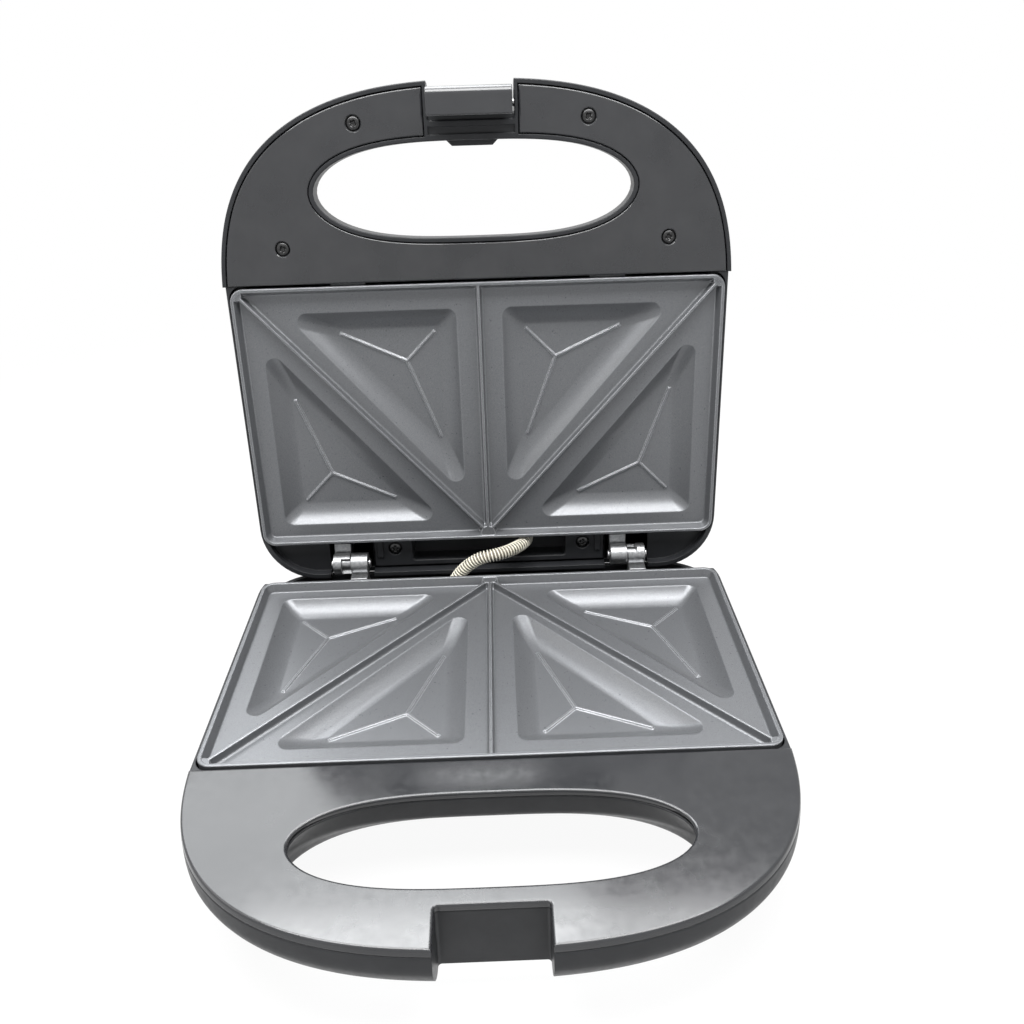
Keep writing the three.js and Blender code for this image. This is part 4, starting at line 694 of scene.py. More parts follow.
def box_pair(centre, half_width, *sizes):
    """A box on each side of the middle; sizes are y0, y1, start and end."""
    return [box(side * centre - half_width, side * centre + half_width, *sizes) for side in SIDES]


def soft_box(x0, x1, y0, y1, start, end, edge):
    def outline(inset):
        return rounded(block_corners(x0, x1, y0, y1, inset), [max(edge - inset, 0.05)] * 4, 4)
    return loft(soft_rings(outline, start, end, edge))


def across_x(stages):
    """A skin through profiles of the plane across the hinge axis, each at its own X."""
    piece = loft(stages)
    piece.data.transform(Matrix(((0, 0, 1, 0), (1, 0, 0, 0), (0, 1, 0, 0), (0, 0, 0, 1))))
    return piece


def axle(y, depth, radius, x0, x1, edge=0):
    if edge == 0:
        return across_x([(circle(y, depth, radius), x) for x in (x0, x1)])
    return across_x(soft_rings(lambda drawn: circle(y, depth, radius - drawn), x0, x1, edge))


def along_y(x, level, radius, y0, y1):
    piece = loft([(circle(0, 0, radius), 0), (circle(0, 0, radius), y1 - y0)])
    piece.data.transform(Matrix.Translation((x, y0, level)) @ Matrix.Rotation(-math.pi / 2, 4, "X"))
    return piece


def span(a, b):
    return min(a, b), max(a, b)


def duplicate(piece):
    return link(bpy.data.objects.new("drawing", piece.data.copy()))


def combine(body, tools, operation):
    for tool in tools:
        step = body.modifiers.new(operation.lower(), "BOOLEAN")
        step.operation, step.solver, step.object = operation, "MANIFOLD", tool
    mesh = bpy.data.meshes.new_from_object(body.evaluated_get(bpy.context.evaluated_depsgraph_get()))
    body.modifiers.clear()
    body.data = mesh
    for tool in tools:
        bpy.data.objects.remove(tool)
    return body


def unite(body, *others):
    return combine(body, others, "UNION")


def cut(body, *tools):
    return combine(body, tools, "DIFFERENCE")


def keep(body, tool):
    return combine(body, [tool], "INTERSECT")


def finish_piece(piece, half, node, material, body=None):
    """Puts a drawn solid in its place in the frame, instead of the node that it was drawn from."""
    piece.name = f"{node}_fine"
    mesh = piece.data
    mesh.name = piece.name
    mesh.transform(half.to_frame)
    if half is BASE:
        mesh.flip_normals()
    mesh.materials.clear()
    mesh.materials.append(material)
    mesh.polygons.foreach_set("use_smooth", [True] * len(mesh.polygons))
    mesh.set_sharp_from_angle(angle=math.radians(SHARP_DEGREES))
    weighted = piece.modifiers.new("flat_faces_stay_flat", "WEIGHTED_NORMAL")
    weighted.keep_sharp = True
    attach(piece, body or half.body)
    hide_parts(node)


# Housings


def hollowed(rings):
    return [(rings[0][0], -OVERRUN)] + rings


HANDLE_SHARES = fine([
    (0, 0), (0.3, 0.027), (0.49, 0.107), (0.68, 0.293), (0.83, 0.507), (0.943, 0.747), (1, 1)])
OVAL_SHARES = fine([(0.415, 0), (0.68, 0.4), (0.87, 0.72), (1, 1)], 5)


def lean(half, depth):
    """How far the front of the base's handle stands inside its longest outline at this depth."""
    return BASE_LEAN * max(0, 1 - depth / LEAN_DEPTH) if half is BASE else 0


def handle_rings(half, wall):
    full_depth = HANDLE_DEPTH - FACE_GAP - wall
    rings = []
    for down, drawn in HANDLE_SHARES:
        depth = FACE_GAP + full_depth * down
        rings.append((handle_outline(wall + HANDLE_ROUND * drawn, wall, lean(half, depth)), depth))
    if wall:
        return hollowed(rings)
    start = COVER_SEAT if half is BASE else FACE_GAP
    lower = [ring for ring in rings if ring[1] > start + 2 * SMALL_EDGE]
    return [(handle_outline(drawn, 0, lean(half, start + deep)), start + deep)
            for drawn, deep in quarter(SMALL_EDGE)] + lower


def oval_rings(half, offset, edge=0, start=FACE_GAP):
    shift, aside = (LOOP_SHIFT, LOOP_ASIDE) if half is BASE else (0, 0)
    mouth = mouth_rings(lambda drawn: oval_outline(0, offset + drawn, 0, shift), start, edge)
    sides = [(oval_outline(0, offset, aside, shift), OVAL_SIDE)]
    flare = [(oval_outline(spread, offset, aside, shift * (1 - spread)), HANDLE_DEPTH * down)
             for down, spread in OVAL_SHARES[1:]]
    return mouth + sides + flare + [(oval_outline(1, offset), HANDLE_DEPTH + OVERRUN)]


def body_rings(half, wall):
    rings = []
    for down, drawn in fine(half.shares):
        depth = BODY_LIP + (half.depth - BODY_LIP - wall) * down
        inset = half.roundness * drawn + wall
        front = -OVAL_CENTRE + OVAL_HALF_DEPTH + max(0, depth + wall - OVAL_SIDE) + inset
        rings.append((body_outline(inset, max(front, -HANDLE_BACK) if wall else front), depth))
    if wall:
        return hollowed(rings)
    front = -OVAL_CENTRE + OVAL_HALF_DEPTH
    return edge_rings(lambda drawn: body_outline(drawn, front + drawn), BODY_LIP, SMALL_EDGE) + rings[1:]


def notch(half, margin, edge=0, start=FACE_GAP):
    def outline(spread, shift=0):
        corners = rectangle(NOTCH_HALF_WIDTH + spread, AHEAD, shift - WEB_FRONT + spread)
        return rounded(corners, [GAP, GAP, NOTCH_CORNER + spread, NOTCH_CORNER + spread], 6)
    shift = WEB_SHIFT if half is BASE else 0
    mouth = mouth_rings(lambda drawn: outline(margin + drawn, shift), start, edge)
    return loft(mouth + [(outline(margin), HANDLE_DEPTH + OVERRUN)])


def ledge_corridor(margin, bottom, edge=0):
    def outline(drawn):
        return rectangle(NOTCH_HALF_WIDTH + margin + drawn, AHEAD, -OVAL_CENTRE)
    return loft(mouth_rings(outline, FACE_GAP, edge) + [(outline(0), bottom)])


def web_ledge():
    def outline(drawn):
        return rectangle(NOTCH_HALF_WIDTH + GAP, -WEB_FRONT - LEDGE_OVERHANG + drawn, -WEB_FRONT + GAP)
    half_width = NOTCH_HALF_WIDTH + NOTCH_RIM
    top = FACE_GAP + LEDGE_DROP
    ledge = box(-half_width, half_width, -WEB_FRONT, -OVAL_CENTRE, FACE_GAP, COVER_SEAT + WALL)
    lip = loft(edge_rings(outline, top, EDGE) + [(outline(0), COVER_SEAT)])
    dip = cut(ledge_corridor(0, top), loft(oval_rings(LID, NOTCH_RIM)))
    return cut(unite(ledge, lip), dip, loft(oval_rings(LID, 0, SMALL_EDGE)))


def web_pad():
    """A rounded pad between the web and the loop, narrower towards the loop."""
    wide, narrow, start, end, edge = 14, 9, 8, 17, 0.5
    front = -OVAL_CENTRE - OVAL_HALF_DEPTH
    corners = [(-wide, front - WALL), (wide, front - WALL), (narrow, front + 2.3), (-narrow, front + 2.3)]
    outline = lambda drawn: rounded(inset_corners(corners, drawn), [0.4] * 4, 4)
    return loft(soft_rings(outline, start, end, edge, 5))


def cover_boss_holes(half):
    if half is LID:
        return [post(x, y, SHANK_HOLE, 0, COVER_SEAT + SCREW_LENGTH + PAD_HEIGHT) for x, y in COVER_SCREWS]
    stages = [(SHANK_HOLE, 0), (SHANK_HOLE, COVER_SCREW_SEAT),
              (HEAD_HOLE, COVER_SCREW_SEAT), (HEAD_HOLE, half.depth)]
    return [turned(x, y, stages) for x, y in COVER_SCREWS]


def cover_recess(half):
    if half is BASE:
        return prism(handle_outline(-OVERRUN), -OVERRUN, COVER_SEAT)
    rim = LID_COVER_INSET - GAP
    return cut(prism(handle_outline(rim), -OVERRUN, COVER_SEAT),
               loft(oval_rings(LID, rim)), ledge_corridor(NOTCH_RIM, COVER_SEAT + OVERRUN))


def plate_step():
    corners = rectangle(PLATE_HALF_WIDTH + GAP, -HANDLE_BACK, PLATE_REAR + GAP)
    return prism(rounded(corners, [PLATE_CORNER] * 4), -OVERRUN, UNDERSIDE + GAP)


def leaf_screws(half):
    return [(side * HINGE_X - half.towards * LEAF_SHIFT, LEAF_SCREW_Y) for side in SIDES]


def inner_forms(half):
    """Posts for the screws, and the decks beside the rear cover."""
    deck_end = half.deck + DECK_THICKNESS
    tops = ((COVER_SCREWS, COVER_POST_RADIUS, COVER_SEAT + (PAD_HEIGHT if half is LID else COVER_BOSS)),
            (REAR_SCREWS, REAR_POST_RADIUS, deck_end + HEAD_DEPTH + GAP),
            (leaf_screws(half), LEAF_POST_RADIUS, LEAF_FOOT + LEAF_THICKNESS + GAP + half.axis))
    posts = [post(x, y, radius, top, half.depth) for places, radius, top in tops for x, y in places]
    return posts + [box(*span(side * DECK_INNER, side * BODY_HALF_WIDTH), PLATE_REAR + GAP, BODY_REAR,
                        half.deck, deck_end) for side in SIDES]


def pilot_holes(half):
    rear_end = half.deck + HEAD_DEPTH + GAP + SCREW_LENGTH + GAP
    leaf_start = LEAF_FOOT + half.axis
    leaf_end = leaf_start + SCREW_LENGTH + 2 * GAP
    return [post(x, y, SHANK_HOLE, 0, rear_end) for x, y in REAR_SCREWS] + [
        post(x, y, SHANK_HOLE, leaf_start, leaf_end) for x, y in leaf_screws(half)]


def housing(half):
    start = FACE_GAP if half is LID else COVER_SEAT
    outer = unite(loft(handle_rings(half, 0)), loft(body_rings(half, 0)))
    shell = cut(outer, loft(oval_rings(half, 0, SMALL_EDGE, start)), notch(half, 0, SMALL_EDGE, start))
    inner = keep(unite(*inner_forms(half)), duplicate(shell))
    hollow = cut(loft(handle_rings(half, WALL)), loft(oval_rings(half, WALL)), notch(half, WALL))
    shell = cut(shell, hollow, loft(body_rings(half, WALL)))
    slots = box_pair(TAB_X, TAB_HALF_WIDTH + GAP, -HANDLE_BACK - WALL - GAP, -HANDLE_BACK + GAP,
                     -OVERRUN, UNDERSIDE + GAP)
    body = cut(unite(shell, inner), cover_recess(half), plate_step(), *slots)
    holes = cover_boss_holes(half) + pilot_holes(half)
    if half is BASE:
        return cut(body, *holes)
    reach = NOTCH_HALF_WIDTH + OVERRUN
    return cut(cut(unite(body, web_ledge(), web_pad()), *holes), axle(*LATCH_AXIS, PIN_HOLE, -reach, reach))


def base_housing():
    width, inner_face = BODY_HALF_WIDTH + OVERRUN, BODY_REAR - WALL
    opening = box(-width, width, PLATE_REAR + GAP, BODY_REAR + OVERRUN, -OVERRUN, REAR_WALL_TOP)
    bay = keep(loft(body_rings(BASE, WALL)),
               box(-BODY_HALF_WIDTH, BODY_HALF_WIDTH, PLATE_REAR + GAP, BODY_REAR, -OVERRUN, BASE.deck))
    collar = along_y(*CORD_INLET, COLLAR_RADIUS, inner_face - COLLAR_LENGTH, inner_face)
    bore = along_y(*CORD_INLET, INLET_RADIUS, inner_face - COLLAR_LENGTH - OVERRUN, BODY_REAR + OVERRUN)
    feet = [post(x, y, FOOT_HOLE, BASE.depth - WALL - GAP, BASE.depth + OVERRUN) for x, y in FOOT_PLACES]
    long, wide = VENT_HALF
    vents = [prism(rounded(block_corners(x - long, x + long, y - wide, y + wide), [wide - 0.1] * 4, 6),
                   BASE.depth - WALL - 3, BASE.depth + OVERRUN) for x, y in VENT_PLACES]
    return cut(unite(housing(BASE), collar), opening, bay, bore, *feet, *vents)


def lid_housing():
    ceiling, (radius, length) = LID.depth - WALL, LAMP_POST
    post_places = [(side * LAMP_POST_X, LENS_Y) for side in SIDES]
    posts = [post(*place, radius, ceiling - length, LID.depth - GAP) for place in post_places]
    post_holes = [post(*place, SHANK_HOLE, 0, ceiling - GAP) for place in post_places]
    stages = [(LENS_HOLE, ceiling - GAP), (LENS_HOLE, LID.depth - SMALL_EDGE),
              (LENS_HOLE + SMALL_EDGE, LID.depth), (LENS_HOLE + SMALL_EDGE, LID.depth + OVERRUN)]
    windows = [turned(side * LENS_X, LENS_Y, stages) for side in SIDES]
    notches = box_pair(HINGE_X, LEAF_BAY_HALF_WIDTH, PLATE_REAR + GAP, BODY_REAR + OVERRUN,
                       -OVERRUN, LEAF_BAY_DEPTH)
    return cut(unite(housing(LID), *posts), *post_holes, *windows, *notches)


# Handle covers


def screw_mouth(face, seat):
    """Stages of a hole for a screw's head, with a chamfer in the face."""
    wide = HEAD_HOLE + HEAD_CHAMFER
    return [(wide, -OVERRUN), (wide, face), (HEAD_HOLE, face + HEAD_CHAMFER), (HEAD_HOLE, seat),
            (SHANK_HOLE, seat)]


def handle_cover(half):
    lid, inset = half is LID, half.cover_inset
    under = FACE_GAP + COVER_THICKNESS
    face = [(handle_outline(inset + drawn, drawn, lean(half, FACE_GAP + deep)), FACE_GAP + deep)
            for drawn, deep in quarter(EDGE)]
    plate = loft(face + [(handle_outline(inset, 0, lean(half, under)), under)])
    length, radius = (PAD_HEIGHT, COVER_PAD_RADIUS) if lid else (COVER_BOSS, COVER_BOSS_RADIUS)
    fixings = [post(x, y, radius, under - GAP, under + length) for x, y in COVER_SCREWS]
    clamps = box_pair(TAB_X, TAB_HALF_WIDTH, -HANDLE_BACK - 4, -HANDLE_BACK - GAP, under - GAP,
                      UNDERSIDE - TAB_THICKNESS - GAP)
    if lid:
        stages = screw_mouth(FACE_GAP, FACE_GAP + HEAD_DEPTH + GAP) + [(SHANK_HOLE, HANDLE_DEPTH)]
        holes = [turned(x, y, stages) for x, y in COVER_SCREWS]
        passage = ledge_corridor(NOTCH_RIM + GAP, HANDLE_DEPTH, EDGE)
    else:
        holes = [post(x, y, SHANK_HOLE, under, HANDLE_DEPTH) for x, y in COVER_SCREWS]
        passage = notch(half, 0, EDGE)
    return cut(unite(plate, *fixings, *clamps), loft(oval_rings(half, inset, EDGE)), passage, *holes)


# Cooking plates

LAND_SIDE, LAND_REAR, LAND_FRONT, LAND_MIDDLE = 11.2, 9.4, 12.3, 10.6
POCKET_LENGTH = PLATE_HALF_WIDTH - LAND_SIDE - 22.7
POCKET_REACH = 128 - LAND_REAR - 25.2
POCKET_DEPTH = 6.3
POCKET_SLOPE = 10.4
POCKET_CORNERS = (4.6, 2)
POCKET_EDGE = 0.7
POCKET_POWER = 1.8
CREST_GAP = 0.15
RIDGE_GAP = 0.7
FILLET = 0.9
RIM_EDGE = 0.45
RIM_TOP = 1.6
RIM_ROUND = 0.35
RIM_SPREAD = 1.3
RIM_START = 0.5
RIDGE_NODE = np.array((0, PLATE_REAR - 3))
RIDGE_ENDS = [np.array((side * (PLATE_HALF_WIDTH - 2.8), PLATE_FRONT + 2.8)) for side in SIDES]
RIDGE_ENDS.append(np.array((0, PLATE_FRONT + 0.8)))
RIDGE_STAGES = [
    (0.35, RIDGE_GAP), (0.5, RIDGE_GAP + 0.05), (0.62, RIDGE_GAP + 0.18), (0.68, RIDGE_GAP + 0.4),
    (0.82, 2.2), (1.0, 3.4), (1.15, 3.8), (1.4, 4.15), (1.75, 4.38), (2.2, FLOOR_DEPTH), (2.2, 5.8)]
HUB_EXTRA = 2.95
KNOB_EXTRA = 1.9
RIB_STAGES = [(0.25, -0.9), (0.45, -0.84), (0.58, -0.66), (0.66, -0.4), (0.8, -0.15), (1.1, 0), (1.1, 1.3)]
RIB_REACH = 0.57
STUD_PLACES = [(side * 58, -76) for side in SIDES]
STUD_RADIUS = 4
STUD_END = 14.2
HOOK_X = 92
HOOK_HALF_WIDTH = 5
HOOK_THICKNESS = 2.5


def pocket_corners(middle, side):
    x = LAND_MIDDLE if middle else PLATE_HALF_WIDTH - LAND_SIDE
    y = PLATE_FRONT + LAND_FRONT if middle else PLATE_REAR - LAND_REAR
    away = 1 if middle else -1
    square, across = (side * x, y), (side * (x + away * POCKET_LENGTH), y)
    along = (side * x, y + away * POCKET_REACH)
    return [square, across, along] if side > 0 else [square, along, across]


def pocket_outline(corners, drawn, spread=0):
    radius = POCKET_CORNERS[0] + (POCKET_CORNERS[1] - POCKET_CORNERS[0]) * max(drawn, 0) + spread
    return rounded(inset_corners(corners, POCKET_SLOPE * drawn - spread), [radius] * 3, 12)


def pocket_hollow(corners):
    lead = POCKET_EDGE * 0.42
    rings = [(pocket_outline(corners, 0, lead), FLOOR_DEPTH - GAP)]
    slope = math.atan(POCKET_POWER * POCKET_DEPTH / POCKET_SLOPE)
    for angle in np.linspace(0, slope, 5):
        outline = pocket_outline(corners, 0, lead - POCKET_EDGE * math.sin(angle))
        rings.append((outline, FLOOR_DEPTH + POCKET_EDGE * (1 - math.cos(angle))))
    for drawn in np.linspace(0.06, 1, 15):
        depth = POCKET_DEPTH * (1 - (1 - drawn) ** POCKET_POWER)
        if depth > rings[-1][1] - FLOOR_DEPTH + 0.05:
            rings.append((pocket_outline(corners, drawn), FLOOR_DEPTH + depth))
    return loft(rings)


def incentre(corners):
    a, b, c = (np.array(corner) for corner in corners)
    sides = [np.linalg.norm(b - c), np.linalg.norm(c - a), np.linalg.norm(a - b)]
    return (a * sides[0] + b * sides[1] + c * sides[2]) / sum(sides)


def bar(start, end, half_width, overshoot=0):
    along = unit(end - start)
    aside = np.array((along[1], -along[0])) * half_width
    far = end + along * overshoot
    return [start + aside, far + aside, far - aside, start - aside]


def pocket_ribs(corners):
    centre, bottom = incentre(corners), FLOOR_DEPTH + POCKET_DEPTH
    widest = RIB_STAGES[-1][0]
    ends = [centre + RIB_REACH * (np.array(corner) - centre) for corner in corners]
    return [loft([(bar(centre, end, half, half - widest), bottom + level) for half, level in RIB_STAGES])
            for end in ends]


def plate_hooks(half):
    foot = max(half.deck + DECK_THICKNESS, UNDERSIDE) + GAP
    rear, end = PLATE_REAR - GAP - HOOK_THICKNESS, foot + HOOK_THICKNESS
    return box_pair(HOOK_X, HOOK_HALF_WIDTH, rear, PLATE_REAR - GAP, UNDERSIDE - GAP, end) + box_pair(
        HOOK_X, HOOK_HALF_WIDTH, rear, PLATE_REAR + 4.5, foot, end)


def recess_rings():
    """The inside of the rim: its round crest, its wall and the fillet at its foot."""
    crest = [(RIM_TOP + RIM_ROUND * (math.sin(a) - 1), CREST_GAP + RIM_ROUND * (1 - math.cos(a)))
             for a in np.linspace(0, math.pi / 2, 5)]
    wall = [(RIM_TOP + RIM_SPREAD * t, RIM_START + (FLOOR_DEPTH - RIM_START - FILLET) * t)
            for t in (0.33, 0.66, 1)]
    foot = [(RIM_TOP + RIM_SPREAD + FILLET * (1 - math.cos(a)), FLOOR_DEPTH - FILLET * (1 - math.sin(a)))
            for a in np.linspace(0, math.pi / 2, 6)[1:]]
    return [(plate_outline(RIM_TOP - RIM_ROUND), -OVERRUN)] + [
        (plate_outline(inset), depth) for inset, depth in crest + wall + foot]


def cooking_plate(half):
    blank = loft(edge_rings(plate_outline, CREST_GAP, RIM_EDGE) + [(plate_outline(0), UNDERSIDE)])
    ridges = [loft([(bar(RIDGE_NODE, end, half_width), depth) for half_width, depth in RIDGE_STAGES])
              for end in RIDGE_ENDS]
    knobs = [turned(*place, [(half_width + extra, depth) for half_width, depth in RIDGE_STAGES])
             for place, extra in ((RIDGE_NODE, HUB_EXTRA), *((end, KNOB_EXTRA) for end in RIDGE_ENDS[:2]))]
    raised = keep(unite(*knobs, *ridges), duplicate(blank))
    pockets = [pocket_corners(middle, side) for side in SIDES for middle in (True, False)]
    shells = [loft([(pocket_outline(corners, drawn, PLATE_THICKNESS), UNDERSIDE + POCKET_DEPTH * drawn)
                    for drawn in (0, 1)]) for corners in pockets]
    studs = [post(*place, STUD_RADIUS, UNDERSIDE - GAP, STUD_END) for place in STUD_PLACES]
    tabs = box_pair(TAB_X, TAB_HALF_WIDTH, PLATE_FRONT - 8, PLATE_FRONT + RIM_TOP,
                    UNDERSIDE - TAB_THICKNESS, UNDERSIDE)
    tray = unite(cut(blank, loft(recess_rings())), *shells, *studs, *tabs, *plate_hooks(half))
    tray = cut(tray, *[pocket_hollow(corners) for corners in pockets])
    tray = unite(tray, raised, *[rib for corners in pockets for rib in pocket_ribs(corners)])
    return cut(tray, *[post(*place, SHANK_HOLE, UNDERSIDE + GAP, STUD_END + 2 * GAP)
                       for place in STUD_PLACES])


# Covers behind the plates, with the bay that the conduit crosses


SHEET_HALF_WIDTH, SHEET_REAR = 59.5, 4.1
BAY_HALF_WIDTH, BAY_FRONT, BAY_REAR, BAY_WALL = 39.5, -17.5, 1.2, 2
BAY_LENGTH = 11
BAY_EDGE = 0.6
BAY_CORNER = 1.5
SCREW_PAD_RADIUS = 5.2
RIB_X, RIB_HALF_WIDTH, RIB_REAR = 56.2, 1.6, -1.2
WIRE_HOLES = {"base": (-20.9, -7.6), "lid": (19.8, -7.8)}
WIRE_HOLE_RADIUS = 2.6


def rear_cover(half):
    def mouth(drawn):
        corners = block_corners(-BAY_HALF_WIDTH, BAY_HALF_WIDTH, BAY_FRONT, BAY_REAR, -drawn)
        return rounded(corners, [BAY_CORNER + drawn] * 4, 6)
    deck, under = half.deck, half.deck + DECK_THICKNESS
    front, width = PLATE_REAR + GAP, BAY_HALF_WIDTH + BAY_WALL
    sheet = soft_box(-SHEET_HALF_WIDTH, SHEET_HALF_WIDTH, front, SHEET_REAR, deck, under, BAY_EDGE)
    walls = soft_box(-width, width, BAY_FRONT - BAY_WALL, BAY_REAR + BAY_WALL,
                     max(deck, UNDERSIDE + 2 * GAP), under + BAY_LENGTH, BAY_EDGE)
    pads = [post(x, y, SCREW_PAD_RADIUS, deck, under + HEAD_DEPTH) for x, y in REAR_SCREWS]
    ribs = [soft_box(side * RIB_X - RIB_HALF_WIDTH, side * RIB_X + RIB_HALF_WIDTH, front, RIB_REAR,
                     deck - 1, under, 0.4) for side in SIDES]
    bay = loft(mouth_rings(mouth, deck, BAY_EDGE) + [(mouth(0), deck + BAY_LENGTH)])
    stages = screw_mouth(deck, deck + HEAD_DEPTH + GAP) + [(SHANK_HOLE, half.depth)]
    heads = [turned(x, y, stages) for x, y in REAR_SCREWS]
    wire_hole = post(*WIRE_HOLES[half.body], WIRE_HOLE_RADIUS, deck, half.depth)
    return cut(unite(sheet, walls, *pads, *ribs), bay, wire_hole, *heads)


# Hinges. A collared leaf carries half a collar, which swings against the lug of its mate.

KNUCKLE_RADIUS = 5.4
KNUCKLE_LENGTH = 8.7
COLLAR = 4.4
HUB_RADIUS = 3.4
STOP_LEAD = 41
STOP_SPAN = 140
NECK_FRONT, NECK_REAR, NECK_START = -9.5, -1, 3.6
LEAF_FRONT = -21
LEAF_EDGE = 0.6
KNUCKLE_EDGE = 0.5
PIN_HEAD_RADIUS, PIN_HEAD_LENGTH = 2.4, 0.8


def ring_sector(level, outer, inner, start, end, x0, x1):
    angles = np.radians(np.linspace(start, end, 25))
    arcs = [np.stack([-radius * np.cos(a), level + radius * np.sin(a)], axis=1)
            for radius, a in ((outer, angles[::-1]), (inner, angles))]
    return across_x([(np.vstack(arcs), x0), (np.vstack(arcs), x1)])


def hinge_leaf(half, side):
    towards, axis = half.towards, half.axis
    near = side * HINGE_X - towards * GAP / 2
    far, split = near - towards * KNUCKLE_LENGTH, near - towards * COLLAR
    x0, x1 = span(near, far)
    top = axis + LEAF_FOOT
    neck = soft_box(x0, x1, NECK_FRONT, NECK_REAR, axis + NECK_START, top + GAP, LEAF_EDGE)
    foot = soft_box(x0, x1, LEAF_FRONT, NECK_REAR, top, top + LEAF_THICKNESS, LEAF_EDGE)
    leaf = cut(unite(neck, foot), post((x0 + x1) / 2, LEAF_SCREW_Y, SHANK_HOLE, 0, half.depth))
    bore = axle(0, axis, PIN_HOLE, *span(far - towards * OVERRUN, side * HINGE_X + towards * 2 * OVERRUN))
    if side * towards < 0:
        leaf = cut(leaf, axle(0, axis, HUB_RADIUS + GAP, *span(split, near + towards * GAP)))
        knuckle = axle(0, axis, KNUCKLE_RADIUS, *span(split, far), KNUCKLE_EDGE)
        collar = ring_sector(axis, KNUCKLE_RADIUS, HUB_RADIUS + GAP, -STOP_LEAD, STOP_SPAN - STOP_LEAD,
                             *span(split - towards * GAP, near))
        return cut(unite(leaf, knuckle, collar), bore)
    sides = span(near - towards * GAP, near + towards * (GAP + COLLAR))
    gap = math.degrees(2 * GAP / (KNUCKLE_RADIUS + HUB_RADIUS))
    lug = ring_sector(axis, KNUCKLE_RADIUS, HUB_RADIUS - GAP, STOP_LEAD + 2 * gap,
                      360 - OPEN_DEGREES - STOP_SPAN + STOP_LEAD - gap, *sides)
    knuckle = axle(0, axis, KNUCKLE_RADIUS, x0, x1, KNUCKLE_EDGE)
    return cut(unite(leaf, knuckle, axle(0, axis, HUB_RADIUS, *sides), lug), bore)


def hinge_pin(side):
    centre, end = side * HINGE_X, GAP / 2 + KNUCKLE_LENGTH + GAP
    heads = []
    for way in SIDES:
        sides = span(centre + way * end, centre + way * (end + PIN_HEAD_LENGTH))
        heads.append(axle(0, BASE.axis, PIN_HEAD_RADIUS, *sides, 0.35))
    return unite(axle(0, BASE.axis, PIN_RADIUS, centre - end - GAP, centre + end + GAP), *heads)


# Latch clip and its pin. The clip's profile is measured from the pin.

CLIP_FACE, CLIP_INSIDE = -5.3, -2.9
CLIP_BOTTOM, HOOK_TOP = -38.9, -36.5
CLIP_BEND = 3.4
HOOK_TIP, TIP_ROUND = 5.6, 0.7
CLIP_TOP = [(-2.6, 12.4), (-3.6, 11.6), (-4.6, 10.2), (-5.15, 8.6), (CLIP_FACE, 7.0)]
CLIP_BACK = [(HOOK_TIP, HOOK_TOP), (-2.4, HOOK_TOP), (CLIP_INSIDE, -36.0), (CLIP_INSIDE, 8.5), (-0.2, 12.4)]
CLIP_RIB = [(-5.0, 8.5), (-5.0, -36.8), (2.6, -36.8), (2.6, 0)]
CLIP_RIB_THICKNESS = 2.4
CLIP_EYE_RADIUS = 3.6
LATCH_PIN_HALF_LENGTH = 21


def soft_profile(points, x0, x1, edge):
    places = [(LATCH_AXIS[0] + y, LATCH_AXIS[1] + depth) for y, depth in points]
    return across_x(soft_rings(lambda drawn: inset_corners(places, drawn), x0, x1, edge))


def latch_clip():
    bend = [(CLIP_FACE + CLIP_BEND * (1 - math.cos(a)), CLIP_BOTTOM + CLIP_BEND * (1 - math.sin(a)))
            for a in np.linspace(0, math.pi / 2, 12)]
    tip = [(HOOK_TIP - TIP_ROUND * (1 - math.sin(a)), CLIP_BOTTOM + TIP_ROUND * (1 - math.cos(a)))
           for a in np.linspace(0, math.pi / 2, 5)]
    skin = soft_profile(CLIP_TOP + bend + tip + CLIP_BACK, -CLIP_HALF_WIDTH, CLIP_HALF_WIDTH, 0.5)
    parts = []
    for side in SIDES:
        sides = span(side * (CLIP_HALF_WIDTH - CLIP_RIB_THICKNESS), side * CLIP_HALF_WIDTH)
        parts += [soft_profile(CLIP_RIB, *sides, 0.3), axle(*LATCH_AXIS, CLIP_EYE_RADIUS, *sides, 0.3)]
    reach = CLIP_HALF_WIDTH + GAP
    return cut(unite(skin, *parts), axle(*LATCH_AXIS, PIN_HOLE, -reach, reach))


def latch_pin():
    return axle(*LATCH_AXIS, PIN_RADIUS, -LATCH_PIN_HALF_LENGTH, LATCH_PIN_HALF_LENGTH, 0.2)


# Feet and lamp lenses

FOOT_PLUG = [(1.6, 32.2), (3.4, 35.2), (2.5, 35.2), (2.5, 38.3), (6.7, 38.3), (7, 38.6)]
FOOT_SOLE = (7, 42.5)
FOOT_HOLLOW = [(4.6, 42.5), (4.0, 42.1), (0.6, 42.1)]
LENS_RADIUS = 4.4
LENS_FLANGE = (6, 1.2)
LENS_DOME = 0.9


def foot(x, y):
    sole = [(FOOT_SOLE[0] - drawn, FOOT_SOLE[1] - deep) for drawn, deep in quarter(1.0)][::-1]
    return turned(x, y, FOOT_PLUG + sole + FOOT_HOLLOW)


def lens(side):
    top = LID.depth - WALL - GAP
    dome = [(LENS_RADIUS * math.cos(a), LID.depth + SMALL_EDGE + LENS_DOME * math.sin(a))
            for a in np.linspace(0, 1.3, 6)]
    stages = [(LENS_FLANGE[0], top - LENS_FLANGE[1]), (LENS_FLANGE[0], top), (LENS_RADIUS, top)]
    return turned(side * LENS_X, LENS_Y, stages + dome)


